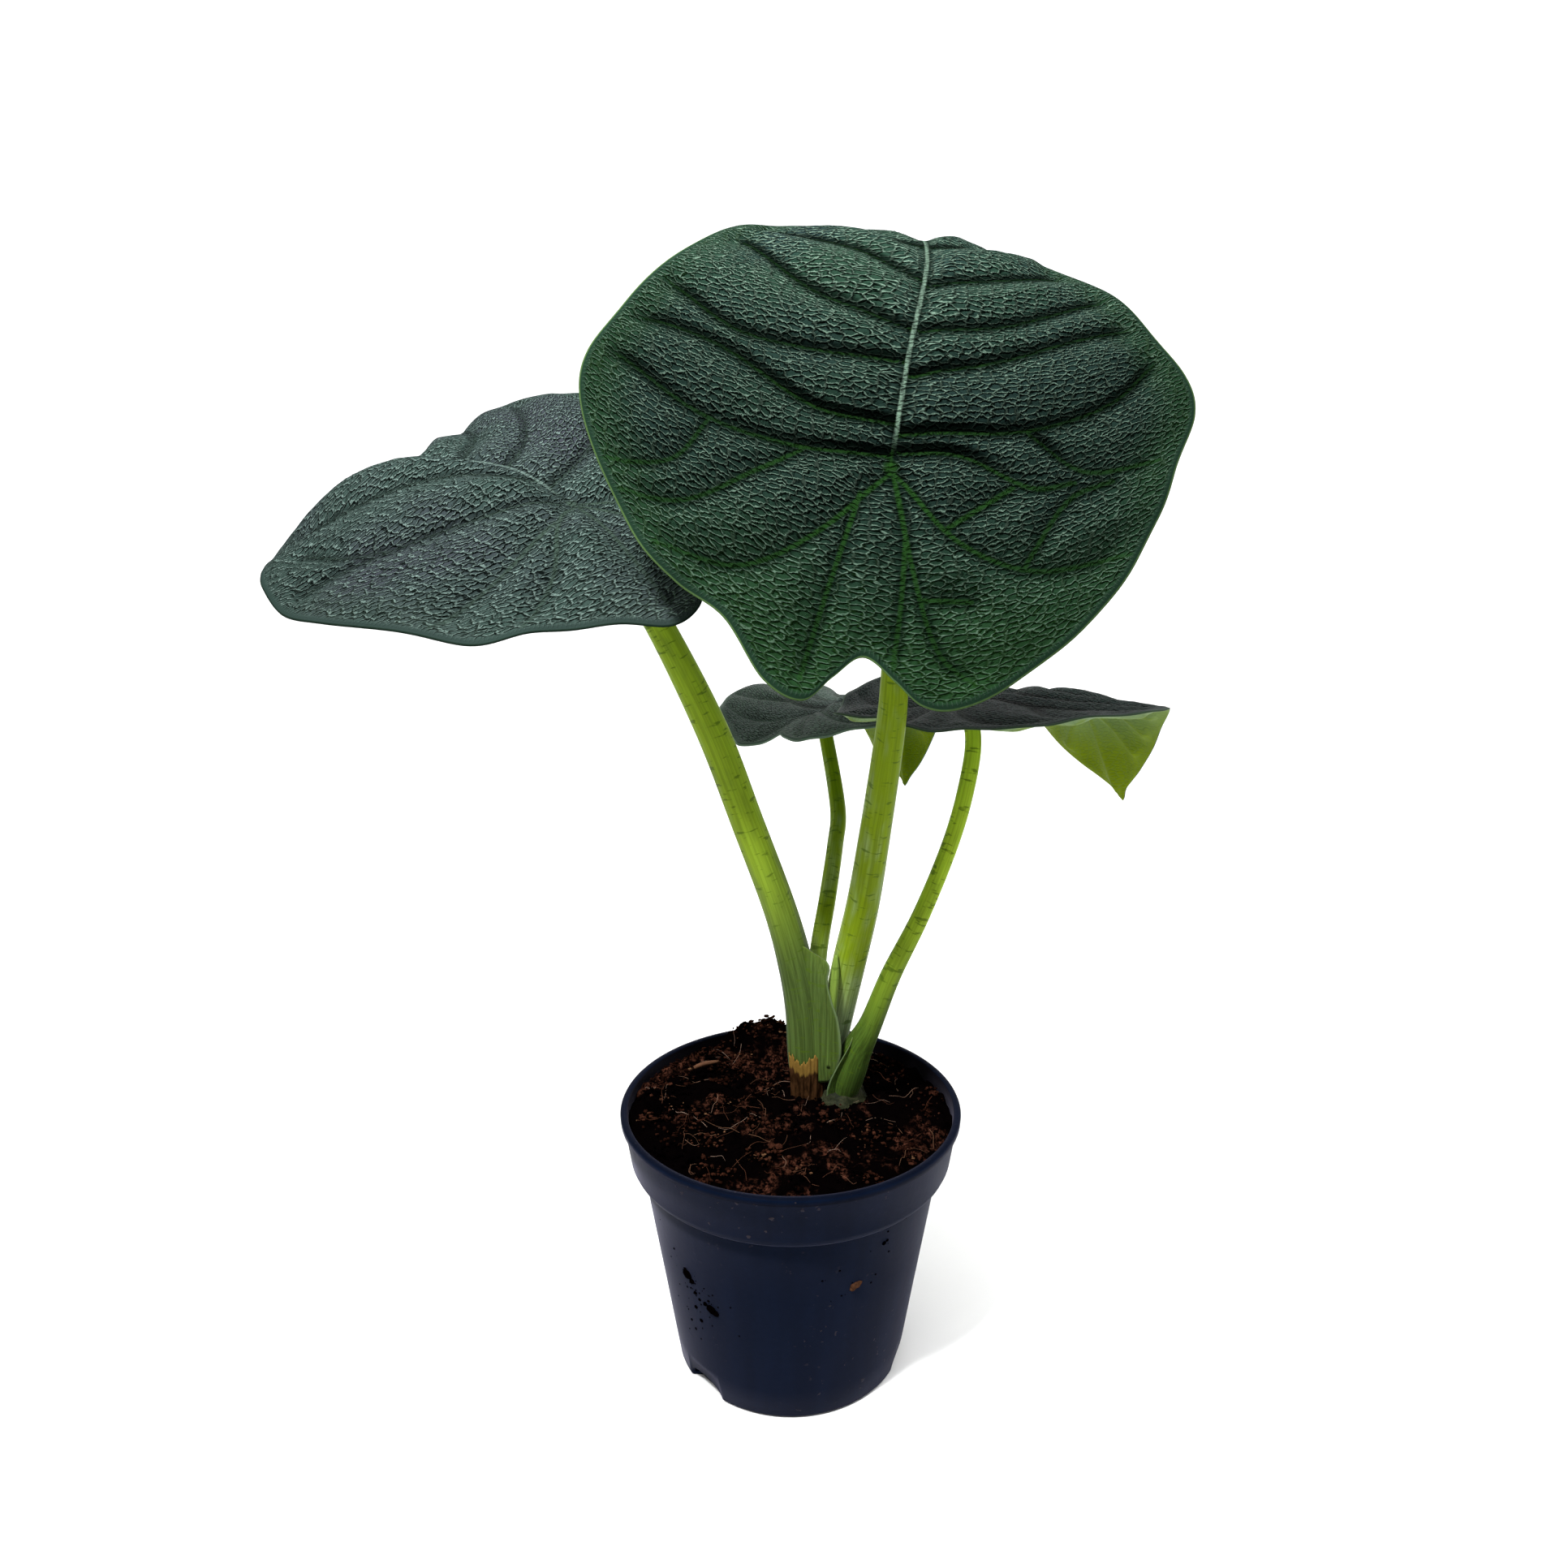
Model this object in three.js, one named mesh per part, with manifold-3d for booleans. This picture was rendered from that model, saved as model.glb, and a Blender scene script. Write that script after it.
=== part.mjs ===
// A potted alocasia: four thick peltate leaves with a raised net, on fleshy stalks
// that clasp each other at the foot, in a round nursery pot.
// Millimetres, +Z up. The origin is under the middle of the pot and the front faces -Y.

import * as THREE from 'three';
import { mergeVertices } from 'three/addons/utils/BufferGeometryUtils.js';
import Module from 'manifold-3d';

const wasm = await Module();
wasm.setup();

// Driving dimensions
const CLEARANCE = 0.3;
const POT_HEIGHT = 97;
const RIM_RADIUS = 60;
const SHOULDER_RADIUS = 53.1;
const SHOULDER_HEIGHT = 76;
const FOOT_RADIUS = 41.1;
const POT_WALL = 1.3;
const POT_FLOOR = 1.8;
const POT_SIDES = 40;
const DRAIN_ANGLES = [-47, 73, 193];
const DRAIN_SIZE = [9, 6, 8];
const SOIL_LEVEL = 93.5;
const SOIL_RINGS = 12;
const CORM_CENTRE = [18, 11, 88];
const CORM_SIZE = [11, 11.5, 12];
const STALK_SIDES = 12;
const BLADE_THICKNESS = 1.1;

// Relief of a full-size blade
const PILLOW = { height: 3.4, width: 6.5 };
const NET = 0.65;
const UNDERSIDE_RIB = { height: 0.9, width: 1.9 };
const INSERTION_DIMPLE = { depth: 2.6, radius: 13 };
const EDGE_BAND = { smooth: 3, full: 9 };
const EDGE_WAVE = { height: 1.1, start: 0.7 };

const COLOURS = {
  pot: 0x1c2030,
  soil: 0x2a1c16,
  stalk: 0x86a03c,
  sheath: 0xa0703c,
  corm: 0xb9c08a,
  darkBlade: 0x24402f,
  greyBlade: 0x3a4b46,
  blackBlade: 0x1f2a28,
};

const radians = THREE.MathUtils.degToRad;
const ease = THREE.MathUtils.smoothstep;
const mix = THREE.MathUtils.lerp;

// Plain helpers for closed meshes

function weld(geometry) {
  geometry.deleteAttribute('normal');
  geometry.deleteAttribute('uv');
  return mergeVertices(geometry, 1e-4);
}

function toSolid(geometry) {
  const welded = weld(geometry);
  return new wasm.Manifold(new wasm.Mesh({
    numProp: 3,
    vertProperties: new Float32Array(welded.attributes.position.array),
    triVerts: new Uint32Array(welded.index.array),
  }));
}

function toGeometry(solid) {
  const mesh = solid.getMesh();
  const geometry = new THREE.BufferGeometry();
  geometry.setAttribute('position', new THREE.BufferAttribute(mesh.vertProperties, mesh.numProp));
  geometry.setIndex(new THREE.BufferAttribute(mesh.triVerts, 1));
  return geometry;
}

// A cut can leave crumbs beyond the piece, so the largest body is the piece
function largestBody(solid) {
  const bodies = solid.decompose();
  return bodies.reduce((best, body) => (body.volume() > best.volume() ? body : best));
}

function moveVertices(geometry, move) {
  const position = geometry.attributes.position;
  const point = new THREE.Vector3();
  for (let i = 0; i < position.count; i += 1) {
    point.fromBufferAttribute(position, i);
    move(point);
    position.setXYZ(i, point.x, point.y, point.z);
  }
  return geometry;
}

function namedMesh(name, geometry, colour, roughness) {
  const shaded = geometry.index ? geometry : weld(geometry);
  shaded.computeVertexNormals();
  const material = new THREE.MeshStandardMaterial({ color: colour, roughness, metalness: 0 });
  const mesh = new THREE.Mesh(shaded, material);
  mesh.name = name;
  return mesh;
}

// Cubic through knots [[x, y], ...], with knot slopes weighted from both neighbours
function cubicThrough(knots) {
  const gap = knots.slice(1).map(([x], i) => x - knots[i][0]);
  const rise = knots.slice(1).map(([, y], i) => (y - knots[i][1]) / gap[i]);
  const slope = knots.map((knot, i) => {
    if (i === 0) return rise[0];
    if (i === gap.length) return rise[i - 1];
    return (rise[i] * gap[i - 1] + rise[i - 1] * gap[i]) / (gap[i - 1] + gap[i]);
  });
  return (at) => {
    const x = THREE.MathUtils.clamp(at, knots[0][0], knots[gap.length][0]);
    let k = 0;
    while (k < gap.length - 1 && x > knots[k + 1][0]) k += 1;
    const t = (x - knots[k][0]) / gap[k];
    const start = knots[k][1] * (1 + 2 * t) * (1 - t) ** 2 + slope[k] * gap[k] * t * (1 - t) ** 2;
    const end = knots[k + 1][1] * t * t * (3 - 2 * t) + slope[k + 1] * gap[k] * t * t * (t - 1);
    return start + end;
  };
}

// A curve in its own plane whose direction in degrees is known at every distance from 0
function turningCurve(knots) {
  const direction = cubicThrough(knots);
  const reach = 170;
  const angles = Array.from({ length: 2 * reach + 1 }, (_, i) => radians(direction(i - reach)));
  const along = new Array(angles.length).fill(0);
  const up = new Array(angles.length).fill(0);
  for (let i = reach + 1; i < angles.length; i += 1) {
    const angle = (angles[i] + angles[i - 1]) / 2;
    along[i] = along[i - 1] + Math.cos(angle);
    up[i] = up[i - 1] + Math.sin(angle);
  }
  for (let i = reach - 1; i >= 0; i -= 1) {
    const angle = (angles[i] + angles[i + 1]) / 2;
    along[i] = along[i + 1] - Math.cos(angle);
    up[i] = up[i + 1] - Math.sin(angle);
  }
  return (distance) => {
    const place = distance + reach;
    const i = Math.floor(place);
    const t = place - i;
    return {
      angle: mix(angles[i], angles[i + 1], t),
      along: mix(along[i], along[i + 1], t),
      up: mix(up[i], up[i + 1], t),
    };
  };
}

// Stalks: hand-picked points [x, y, z, radius] from the foot to under the blade

const STALKS = {
  front: [
    [14, 17, 88, 4], [15.5, 16, 109.5, 5], [18, 13, 128.5, 5.7], [21, 9, 147, 5.9],
    [24.5, 1, 170, 5.6], [27, -8, 195, 5.2], [30.5, -21, 235, 4.6], [31, -27, 256, 4.1],
    [31, -33, 280, 3.7], [29.5, -38, 299, 3.5], [27.5, -42, 314.5, 3.4],
  ],
  left: [
    [8, 11, 88, 4.2], [7, 11, 99, 6.3], [6, 11, 109, 7], [5, 10.5, 126.5, 6.9],
    [2, 10, 143.5, 6.3], [-3.8, 9, 166, 5.8], [-15, 8, 198, 5.6], [-26.5, 7, 230, 5.5],
    [-43, 6, 265, 4.7], [-56, 5, 286, 4.3], [-69, 5, 307, 4],
  ],
  back: [
    [11, 22, 88, 2.9], [10, 24, 118.5, 3.3], [10.3, 27, 140.5, 3.3], [14, 37, 160, 3.2],
    [17.3, 52, 176, 3.1], [18.8, 66, 187, 3.1], [15, 92, 210, 2.9], [12.3, 97, 221.4, 2.7],
  ],
  right: [
    [19, 9, 93, 4.3], [20, 8, 99, 5.6], [21.5, 7, 106, 6], [24, 6, 114, 5.4],
    [28.5, 4, 125, 4.1], [35.2, 4, 143.5, 3.6], [45.3, 5, 165.5, 3.1], [54.8, 8, 190, 2.9],
    [60, 11, 209, 2.9], [62.5, 16, 225, 2.8], [60, 23, 238, 2.7],
  ],
};

// Free edge of the left stalk's sheath wing, from its flap down to the right stalk's foot
const WING_EDGE = [
  [10, 2, 148], [12, 2, 144], [13, 2, 140], [14.5, 2, 133], [16.5, 1.5, 126.5], [17.5, 1.5, 120],
  [17.5, 1.5, 114], [17, 1.5, 109],
];
const WING_THICKNESS = 1;

// Next leaf, rolled up between the stalks
const SHOOT = [
  [13.8, 4, 108, 1.4], [14, 4, 120, 1.7], [14.5, 4, 132, 1.8], [15.5, 4, 143.5, 1.6],
  [16, 4, 150.5, 0.5],
];

const ROOTS = [
  [[12, 4, 80, 1.8], [-2, -6, 68, 1.4], [-14, -10, 50, 1.1], [-20, -14, 34, 0.9]],
  [[22, 4, 80, 1.8], [30, -10, 66, 1.4], [32, -18, 46, 1.1], [26, -22, 28, 0.9]],
  [[16, 16, 80, 1.8], [12, 26, 66, 1.4], [4, 32, 46, 1.1], [-4, 34, 26, 0.9]],
  [[24, 12, 80, 1.8], [33, 16, 68, 1.4], [38, 18, 52, 1.1], [36, 22, 36, 0.9]],
];

// A round rod whose radius changes along its points, with both ends closed
function taperedRod(points, steps, sides, extra = 0) {
  const curve = new THREE.CatmullRomCurve3(points.map(([x, y, z]) => new THREE.Vector3(x, y, z)));
  const radius = cubicThrough(points.map((point, i) => [i / (points.length - 1), point[3]]));
  const frames = curve.computeFrenetFrames(steps);
  const spots = frames.tangents.map((_, i) => curve.getPointAt(i / steps));
  const thickness = spots.map((_, i) => radius(curve.getUtoTmapping(i / steps)) + extra);
  const rod = new THREE.CylinderGeometry(1, 1, 1, sides, steps);
  return moveVertices(rod, (point) => {
    const i = Math.round((point.y + 0.5) * steps);
    const across = frames.normals[i].clone().multiplyScalar(point.z * thickness[i]);
    const beside = frames.binormals[i].clone().multiplyScalar(point.x * thickness[i]);
    const beyond = (i === 0 ? -extra : 0) + (i === steps ? extra : 0);
    point.copy(spots[i]).add(across).add(beside).addScaledVector(frames.tangents[i], beyond);
  });
}

function stalkSolid(name, extra = 0) {
  return toSolid(taperedRod(STALKS[name], 16, STALK_SIDES, extra));
}

// Thin sheath wing that runs from inside the left stalk to its free edge
function wingSolid(extra = 0) {
  const steps = 8;
  const points = WING_EDGE.map((point) => new THREE.Vector3(...point));
  const edge = new THREE.CatmullRomCurve3(points);
  const plate = new THREE.BoxGeometry(1, 1, 1, 3, steps, 1);
  return toSolid(moveVertices(plate, (point) => {
    const down = THREE.MathUtils.clamp((0.5 - point.y) * (1 + 2 * extra / 40) - extra / 40, 0, 1);
    const free = edge.getPoint(down);
    const root = new THREE.Vector3(mix(4, 7, down), 7, free.z - 1);
    const across = point.x + 0.5;
    const lift = 1.6 * Math.sin(Math.PI * across);
    const depth = point.z * (WING_THICKNESS + 2 * extra);
    point.copy(root.lerp(free, across));
    point.x += across * extra;
    point.y += depth - lift;
    point.z += (0.5 - down) * 2 * extra;
  }));
}

// Blades: flat coordinates run x to the right and y toward the tip, from the stalk's insertion

function smoothLine(points) {
  const curve = new THREE.SplineCurve(points.map(([x, y]) => new THREE.Vector2(x, y)));
  return curve.getPoints(5 * points.length);
}

const mirrored = (points) => points.map(([x, y]) => [-x, y]);

const FRONT_OUTLINE = [
  [8, 150], [24, 132], [39, 117], [52, 102], [63, 87], [77, 67], [89, 48], [92, 32], [85, 12],
  [80, -5], [71, -24], [57, -42], [38, -59], [23, -67], [13, -67], [5, -61], [-4, -55],
  [-12, -61], [-20, -68], [-31, -63], [-43, -47], [-57, -38], [-70, -25], [-84, -1], [-91, 18],
  [-90, 34], [-81, 53], [-69, 69], [-55, 88], [-44, 104], [-28, 121], [-9, 136],
];
const FRONT_VEINS = [
  [[0, 0], [3, 34], [8, 71], [9, 110], [8, 150]],
  [[0, 3], [-27, 3], [-55, 12], [-82, 33]],
  [[1, 12], [-23, 15], [-50, 33], [-76, 47]],
  [[2, 31], [-25, 33], [-48, 40], [-69, 61]],
  [[4, 42], [-26, 55], [-47, 81]],
  [[7, 62], [-12, 77], [-40, 95]],
  [[9, 84], [-8, 100], [-24, 112]],
  [[-25, 2], [-38, -5], [-57, -14], [-78, -11]],
  [[-52, 10], [-62, -2], [-82, -2]],
  [[0, -2], [-19, -21], [-40, -32], [-64, -27]],
  [[-8, -9], [-16, -40], [-21, -62]],
  [[1, 9], [36, 14], [64, 29], [80, 50]],
  [[3, 26], [33, 37], [72, 63]],
  [[4, 41], [34, 50], [66, 76]],
  [[7, 59], [35, 73], [54, 92]],
  [[9, 84], [28, 98], [40, 110]],
  [[39, 14], [57, 6], [80, 14]],
  [[2, 4], [20, 4], [40, -2], [54, 2]],
  [[1, -2], [19, -20], [43, -26], [72, -17]],
  [[40, -25], [52, -4], [66, 5]],
  [[17, -17], [35, -3]],
  [[1, -3], [7, -28], [16, -51], [27, -60]],
  [[11, -38], [25, -37]],
  [[5, -21], [5, -41], [4, -58]],
];

const LEFT_OUTLINE = [
  [-2, 143], [12, 134], [30, 124], [49, 111], [66, 93], [79, 72], [86, 50], [82, 28], [75, 6],
  [66, -17], [54, -31], [40, -47], [29, -59], [19, -61], [9, -55], [0, -50], [-9, -55],
  [-19, -62], [-30, -61], [-40, -48], [-57, -31], [-70, -18], [-78, 6], [-85, 28], [-85, 50],
  [-76, 71], [-64, 91], [-49, 109], [-30, 124], [-12, 134],
];
const LEFT_VEINS = [
  [[0, 0], [3, 28], [-2, 61], [-3, 100], [-2, 140]],
  [[1, 15], [-21, 43], [-42, 71], [-52, 94]],
  [[-4, 1], [-27, 12], [-51, 31], [-76, 50]],
  [[-51, 31], [-59, 46], [-60, 66]],
  [[-2, 66], [-18, 86], [-32, 108]],
  [[-18, -7], [-48, -7], [-72, -4]],
  [[0, -2], [-18, -8], [-36, -20], [-58, -27]],
  [[0, -3], [-14, -29], [-24, -54]],
  [[2, 10], [28, 16], [56, 30], [78, 50]],
  [[3, 28], [30, 42], [64, 72]],
  [[0, 45], [26, 62], [48, 92]],
  [[-2, 66], [18, 84], [34, 106]],
  [[30, 16], [54, 4], [74, 6]],
  [[2, -2], [18, -18], [40, -28], [62, -24]],
  [[1, -3], [8, -30], [18, -56]],
];

const YOUNG_HALF_OUTLINE = [
  [5, 150], [13, 143], [24, 134], [42, 117], [57, 99], [70, 82], [80, 66], [87, 50], [90, 33],
  [88, 15], [83, 0], [71, -25], [53, -44], [34, -60], [24, -67], [11, -62],
];
const YOUNG_OUTLINE = [
  [0, 158], ...YOUNG_HALF_OUTLINE, [0, -54], ...mirrored(YOUNG_HALF_OUTLINE).reverse(),
];
const YOUNG_HALF_VEINS = [
  [[0, 8], [30, 12], [58, 28], [80, 48]],
  [[0, 26], [32, 37], [68, 66]],
  [[0, 46], [28, 60], [56, 88]],
  [[0, 68], [22, 84], [42, 108]],
  [[0, 90], [14, 104], [27, 122]],
  [[36, 14], [58, 4], [80, 6]],
  [[0, -2], [20, -20], [42, -28], [70, -20]],
  [[0, -3], [8, -30], [20, -60]],
];
const YOUNG_VEINS = [
  [[0, 0], [0, 60], [0, 110], [0, 158]],
  ...YOUNG_HALF_VEINS,
  ...YOUNG_HALF_VEINS.map(mirrored),
];

// Each blade: insertion point, heading of the tip from +Y toward +X, rise and roll in degrees,
// size against the front blade, and how the midrib turns and the halves slope, in degrees
const BLADES = {
  front: {
    insertion: [27.5, -42, 314.5], heading: 11, rise: 67.5, roll: -12.5, size: 1, rings: 18,
    midrib: [[-80, 14], [-30, 5], [0, 0], [35, -8], [65, -26], [85, -42], [105, -59], [125, -76],
      [150, -104]],
    across: [[-95, 26], [-60, 12], [-30, 4], [-12, 1], [-6, -4], [0, 0], [6, 4], [12, -3],
      [30, -9], [60, -14], [95, -11]],
    outline: FRONT_OUTLINE, veins: FRONT_VEINS, colour: COLOURS.darkBlade,
  },
  left: {
    insertion: [-69, 5, 307], heading: -67, rise: 21, roll: 14.5, size: 1, rings: 15,
    midrib: [[-80, 25], [-30, 4], [0, 0], [35, -10], [70, -29], [100, -56], [140, -58]],
    across: [[-95, 35], [-60, 22.5], [-30, 26], [-12, 8], [-6, -4], [0, 0], [6, 4], [12, 3],
      [30, 10], [60, 2], [95, -5]],
    outline: LEFT_OUTLINE, veins: LEFT_VEINS, colour: COLOURS.greyBlade,
  },
  back: {
    insertion: [12.3, 97, 221.7], heading: 35.5, rise: 9.5, roll: 21, size: 0.58, rings: 11,
    midrib: [[-46, 17], [-17, 3], [0, 0], [20, -12], [40, -22], [61, -94], [87, -138]],
    across: [[-55, -2], [-26, -30], [-5, -9], [-2, -3], [0, 0], [2, 3], [5, -7], [26, -22],
      [55, -25]],
    outline: YOUNG_OUTLINE, veins: YOUNG_VEINS, colour: COLOURS.blackBlade,
  },
  right: {
    insertion: [60, 23, 238], heading: 59, rise: 1, roll: 7, size: 0.65, rings: 12,
    midrib: [[-52, -12], [-19, 7], [0, 0], [23, -0.5], [45, -12], [68, -63], [98, -70]],
    across: [[-62, -24], [-29, -5], [-5, -1.5], [-2, -3], [0, 0], [2, 3], [5, -2.5], [29, -8.5],
      [62, 3.5]],
    outline: YOUNG_OUTLINE, veins: YOUNG_VEINS, colour: COLOURS.blackBlade,
  },
};

// Smooth bent sheet of a blade: gives the point and the upward normal at flat (x, y)
function bladeSheet(blade) {
  const heading = radians(blade.heading);
  const rise = radians(blade.rise);
  const roll = radians(blade.roll);
  const forward = new THREE.Vector3(
    Math.sin(heading) * Math.cos(rise), Math.cos(heading) * Math.cos(rise), Math.sin(rise));
  const levelRight = new THREE.Vector3(Math.cos(heading), -Math.sin(heading), 0);
  const levelUp = new THREE.Vector3().crossVectors(levelRight, forward);
  const right = levelRight.clone().multiplyScalar(Math.cos(roll))
    .addScaledVector(levelUp, Math.sin(roll));
  const up = new THREE.Vector3().crossVectors(right, forward);
  const midrib = turningCurve(blade.midrib);
  const across = turningCurve(blade.across);
  const insertion = new THREE.Vector3(...blade.insertion);
  return (x, y) => {
    const rib = midrib(y);
    const half = across(x);
    const ribUp = up.clone().multiplyScalar(Math.cos(rib.angle))
      .addScaledVector(forward, -Math.sin(rib.angle));
    const point = insertion.clone().addScaledVector(forward, rib.along)
      .addScaledVector(up, rib.up).addScaledVector(right, half.along)
      .addScaledVector(ribUp, half.up);
    const normal = ribUp.multiplyScalar(Math.cos(half.angle))
      .addScaledVector(right, -Math.sin(half.angle));
    return { point, normal };
  };
}

// Distance from the insertion to the margin, by angle from the tip
function marginRadius(blade) {
  const points = blade.outline.map(([x, y]) => new THREE.Vector3(x, y, 0));
  const curve = new THREE.CatmullRomCurve3(points, true, 'catmullrom');
  const spots = curve.getPoints(360).slice(0, -1)
    .map(({ x, y }) => [Math.atan2(x, y), Math.hypot(x, y) * blade.size])
    .sort((a, b) => a[0] - b[0]);
  return (angle) => {
    const turn = Math.atan2(Math.sin(angle), Math.cos(angle));
    let next = spots.findIndex(([a]) => a >= turn);
    if (next < 0) next = spots.length;
    const [a1, r1] = next === spots.length ? [spots[0][0] + 2 * Math.PI, spots[0][1]] : spots[next];
    const [a0, r0] = next === 0 ? [spots.at(-1)[0] - 2 * Math.PI, spots.at(-1)[1]] : spots[next - 1];
    return mix(r0, r1, (turn - a0) / (a1 - a0));
  };
}

// Nearest spot on the veins and its distance
function veinFinder(blade) {
  const lines = blade.veins.map((vein) => smoothLine(vein).map((p) => p.multiplyScalar(blade.size)));
  const pieces = lines.flatMap((line) => line.slice(1).map((end, i) => [line[i], end]));
  return (spot) => {
    let best = { distance: Infinity, spot };
    pieces.forEach(([start, end]) => {
      const run = end.clone().sub(start);
      const share = THREE.MathUtils.clamp(spot.clone().sub(start).dot(run) / run.lengthSq(), 0, 1);
      const near = start.clone().addScaledVector(run, share);
      const distance = near.distanceTo(spot);
      if (distance < best.distance) best = { distance, spot: near };
    });
    return best;
  };
}

// Height of the quilted surface over the smooth sheet: sunken veins between pillows, the raised
// net round low cells, a dimple over the stalk, and a smooth band with a wave along the margin
function bladeRelief(blade, { distance, fromCentre, toMargin, angle, netCell }) {
  const size = blade.size;
  const inner = ease(toMargin, EDGE_BAND.smooth * size, EDGE_BAND.full * size);
  const pillow = 1 - Math.exp(-((distance / (PILLOW.width * size)) ** 1.6));
  const dimple = Math.exp(-((fromCentre / (INSERTION_DIMPLE.radius * size)) ** 2));
  const outward = fromCentre / (fromCentre + toMargin + 1e-6);
  const wave = Math.sin(9 * angle + 1) + 0.6 * Math.sin(16 * angle + 2.5);
  return PILLOW.height * size * inner * (pillow - 0.8)
    - INSERTION_DIMPLE.depth * size * dimple
    + NET * inner * (netCell ? -1 : 0.5)
    + EDGE_WAVE.height * size * wave * ease(outward, EDGE_WAVE.start, 1) / 1.6;
}

// Six sectors of triangles: ring n holds 6n spots, and every third spot is the low middle of a
// cell of the net
const SECTOR_STEPS = [[1, 0], [0, 1], [-1, 1], [-1, 0], [0, -1], [1, -1]];

function discSpots(rings) {
  const spots = [{ ring: 0, angle: 0, netCell: true }];
  for (let ring = 1; ring <= rings; ring += 1) {
    for (let k = 0; k < 6 * ring; k += 1) {
      const sector = Math.floor(k / ring);
      const [a, b] = SECTOR_STEPS[sector].map((step, i) => (
        ring * step + (k % ring) * SECTOR_STEPS[(sector + 2) % 6][i]));
      spots.push({ ring, angle: Math.PI * k / (3 * ring), netCell: (a - b) % 3 === 0 });
    }
  }
  return spots;
}

const discIndex = (ring, k) => (ring === 0 ? 0 : 1 + 3 * ring * (ring - 1) + (k % (6 * ring)));

function discFaces(rings) {
  const faces = [];
  for (let ring = 0; ring < rings; ring += 1) {
    for (let sector = 0; sector < 6; sector += 1) {
      for (let j = 0; j <= ring; j += 1) {
        const inner = discIndex(ring, sector * ring + j);
        const outer = discIndex(ring + 1, sector * (ring + 1) + j);
        const outerNext = discIndex(ring + 1, sector * (ring + 1) + j + 1);
        faces.push([inner, outerNext, outer]);
        if (j < ring) faces.push([inner, discIndex(ring, sector * ring + j + 1), outerNext]);
      }
    }
  }
  return faces;
}

// A quilted blade, split into triangles alike on both faces
function bladeGeometry(blade, extra = 0) {
  const sheet = bladeSheet(blade);
  const margin = marginRadius(blade);
  const nearestVein = veinFinder(blade);
  const rings = blade.rings;
  const top = [];
  const bottom = [];
  discSpots(rings).forEach(({ ring, angle, netCell }) => {
    const reach = margin(angle) + extra;
    const spacing = reach / rings;
    const fromCentre = ring * spacing;
    let flat = new THREE.Vector2(Math.sin(angle), Math.cos(angle)).multiplyScalar(fromCentre);
    let vein = nearestVein(flat);
    if (ring > 0 && ring < rings - 1 && vein.distance < 0.4 * spacing) {
      flat = vein.spot;
      vein = nearestVein(flat);
    }
    const relief = bladeRelief(blade, {
      distance: vein.distance, fromCentre, toMargin: reach - fromCentre, angle, netCell,
    });
    const rib = UNDERSIDE_RIB.height * blade.size
      * Math.exp(-((vein.distance / UNDERSIDE_RIB.width) ** 2))
      * ease(reach - fromCentre, 0, EDGE_BAND.full);
    const { point, normal } = sheet(flat.x, flat.y);
    const half = BLADE_THICKNESS / 2 + extra;
    top.push(point.clone().addScaledVector(normal, relief + half));
    bottom.push(point.clone().addScaledVector(normal, relief - half - rib));
  });
  return closedSheet(top, bottom, discFaces(rings), rings);
}

function closedSheet(top, bottom, faces, rings) {
  const under = top.length;
  const index = faces.flatMap(([a, b, c]) => [a, b, c, under + a, under + c, under + b]);
  for (let k = 0; k < 6 * rings; k += 1) {
    const a = discIndex(rings, k);
    const b = discIndex(rings, k + 1);
    index.push(a, b, under + b, a, under + b, under + a);
  }
  const geometry = new THREE.BufferGeometry().setFromPoints([...top, ...bottom]);
  geometry.setIndex(index);
  return geometry;
}

// Pot: a lathed wall with a thin rim, a rounded band and a tapering body

function potWallPoints() {
  const bandTop = RIM_RADIUS - 1.2;
  return [
    [FOOT_RADIUS - 1, 0], [FOOT_RADIUS, 1], [SHOULDER_RADIUS - 0.6, SHOULDER_HEIGHT - 0.6],
    [SHOULDER_RADIUS, SHOULDER_HEIGHT], [SHOULDER_RADIUS + 2.2, SHOULDER_HEIGHT + 1.6],
    [SHOULDER_RADIUS + 3.7, SHOULDER_HEIGHT + 4.2], [bandTop, POT_HEIGHT - 3],
    [RIM_RADIUS, POT_HEIGHT - 1.6], [RIM_RADIUS - 0.2, POT_HEIGHT],
  ];
}

// Inner radius of the pot at a height above its floor
function potInnerRadius(height) {
  const wall = potWallPoints().slice(1);
  const k = Math.max(1, wall.findIndex(([, z]) => z >= height));
  const [r0, z0] = wall[k - 1];
  const [r1, z1] = wall[k];
  return mix(r0, r1, (height - z0) / (z1 - z0)) - POT_WALL;
}

function lathed(profile, sides) {
  const points = profile.map(([radius, height]) => new THREE.Vector2(radius, height));
  return new THREE.LatheGeometry(points, sides).rotateX(Math.PI / 2);
}

function drainCutter(degrees) {
  const [width, depth, height] = DRAIN_SIZE;
  const cutter = new THREE.SphereGeometry(1, 12, 8);
  cutter.scale(depth, width, height);
  cutter.translate(FOOT_RADIUS + 0.5, 0, -0.5);
  cutter.rotateZ(radians(degrees - 90));
  return toSolid(cutter);
}

function nurseryPot() {
  const inner = [
    [potInnerRadius(POT_HEIGHT - 3), POT_HEIGHT],
    [potInnerRadius(POT_HEIGHT - 3), POT_HEIGHT - 3],
    [potInnerRadius(SHOULDER_HEIGHT + 4.2), SHOULDER_HEIGHT + 4.2],
    [SHOULDER_RADIUS - POT_WALL - 0.4, SHOULDER_HEIGHT - 1],
    [potInnerRadius(POT_FLOOR), POT_FLOOR],
  ];
  const profile = [[0, 0], ...potWallPoints(), ...inner, [0, POT_FLOOR]];
  let pot = toSolid(lathed(profile, POT_SIDES));
  DRAIN_ANGLES.forEach((degrees) => {
    pot = pot.subtract(drainCutter(degrees));
  });
  return toGeometry(largestBody(pot));
}

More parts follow.
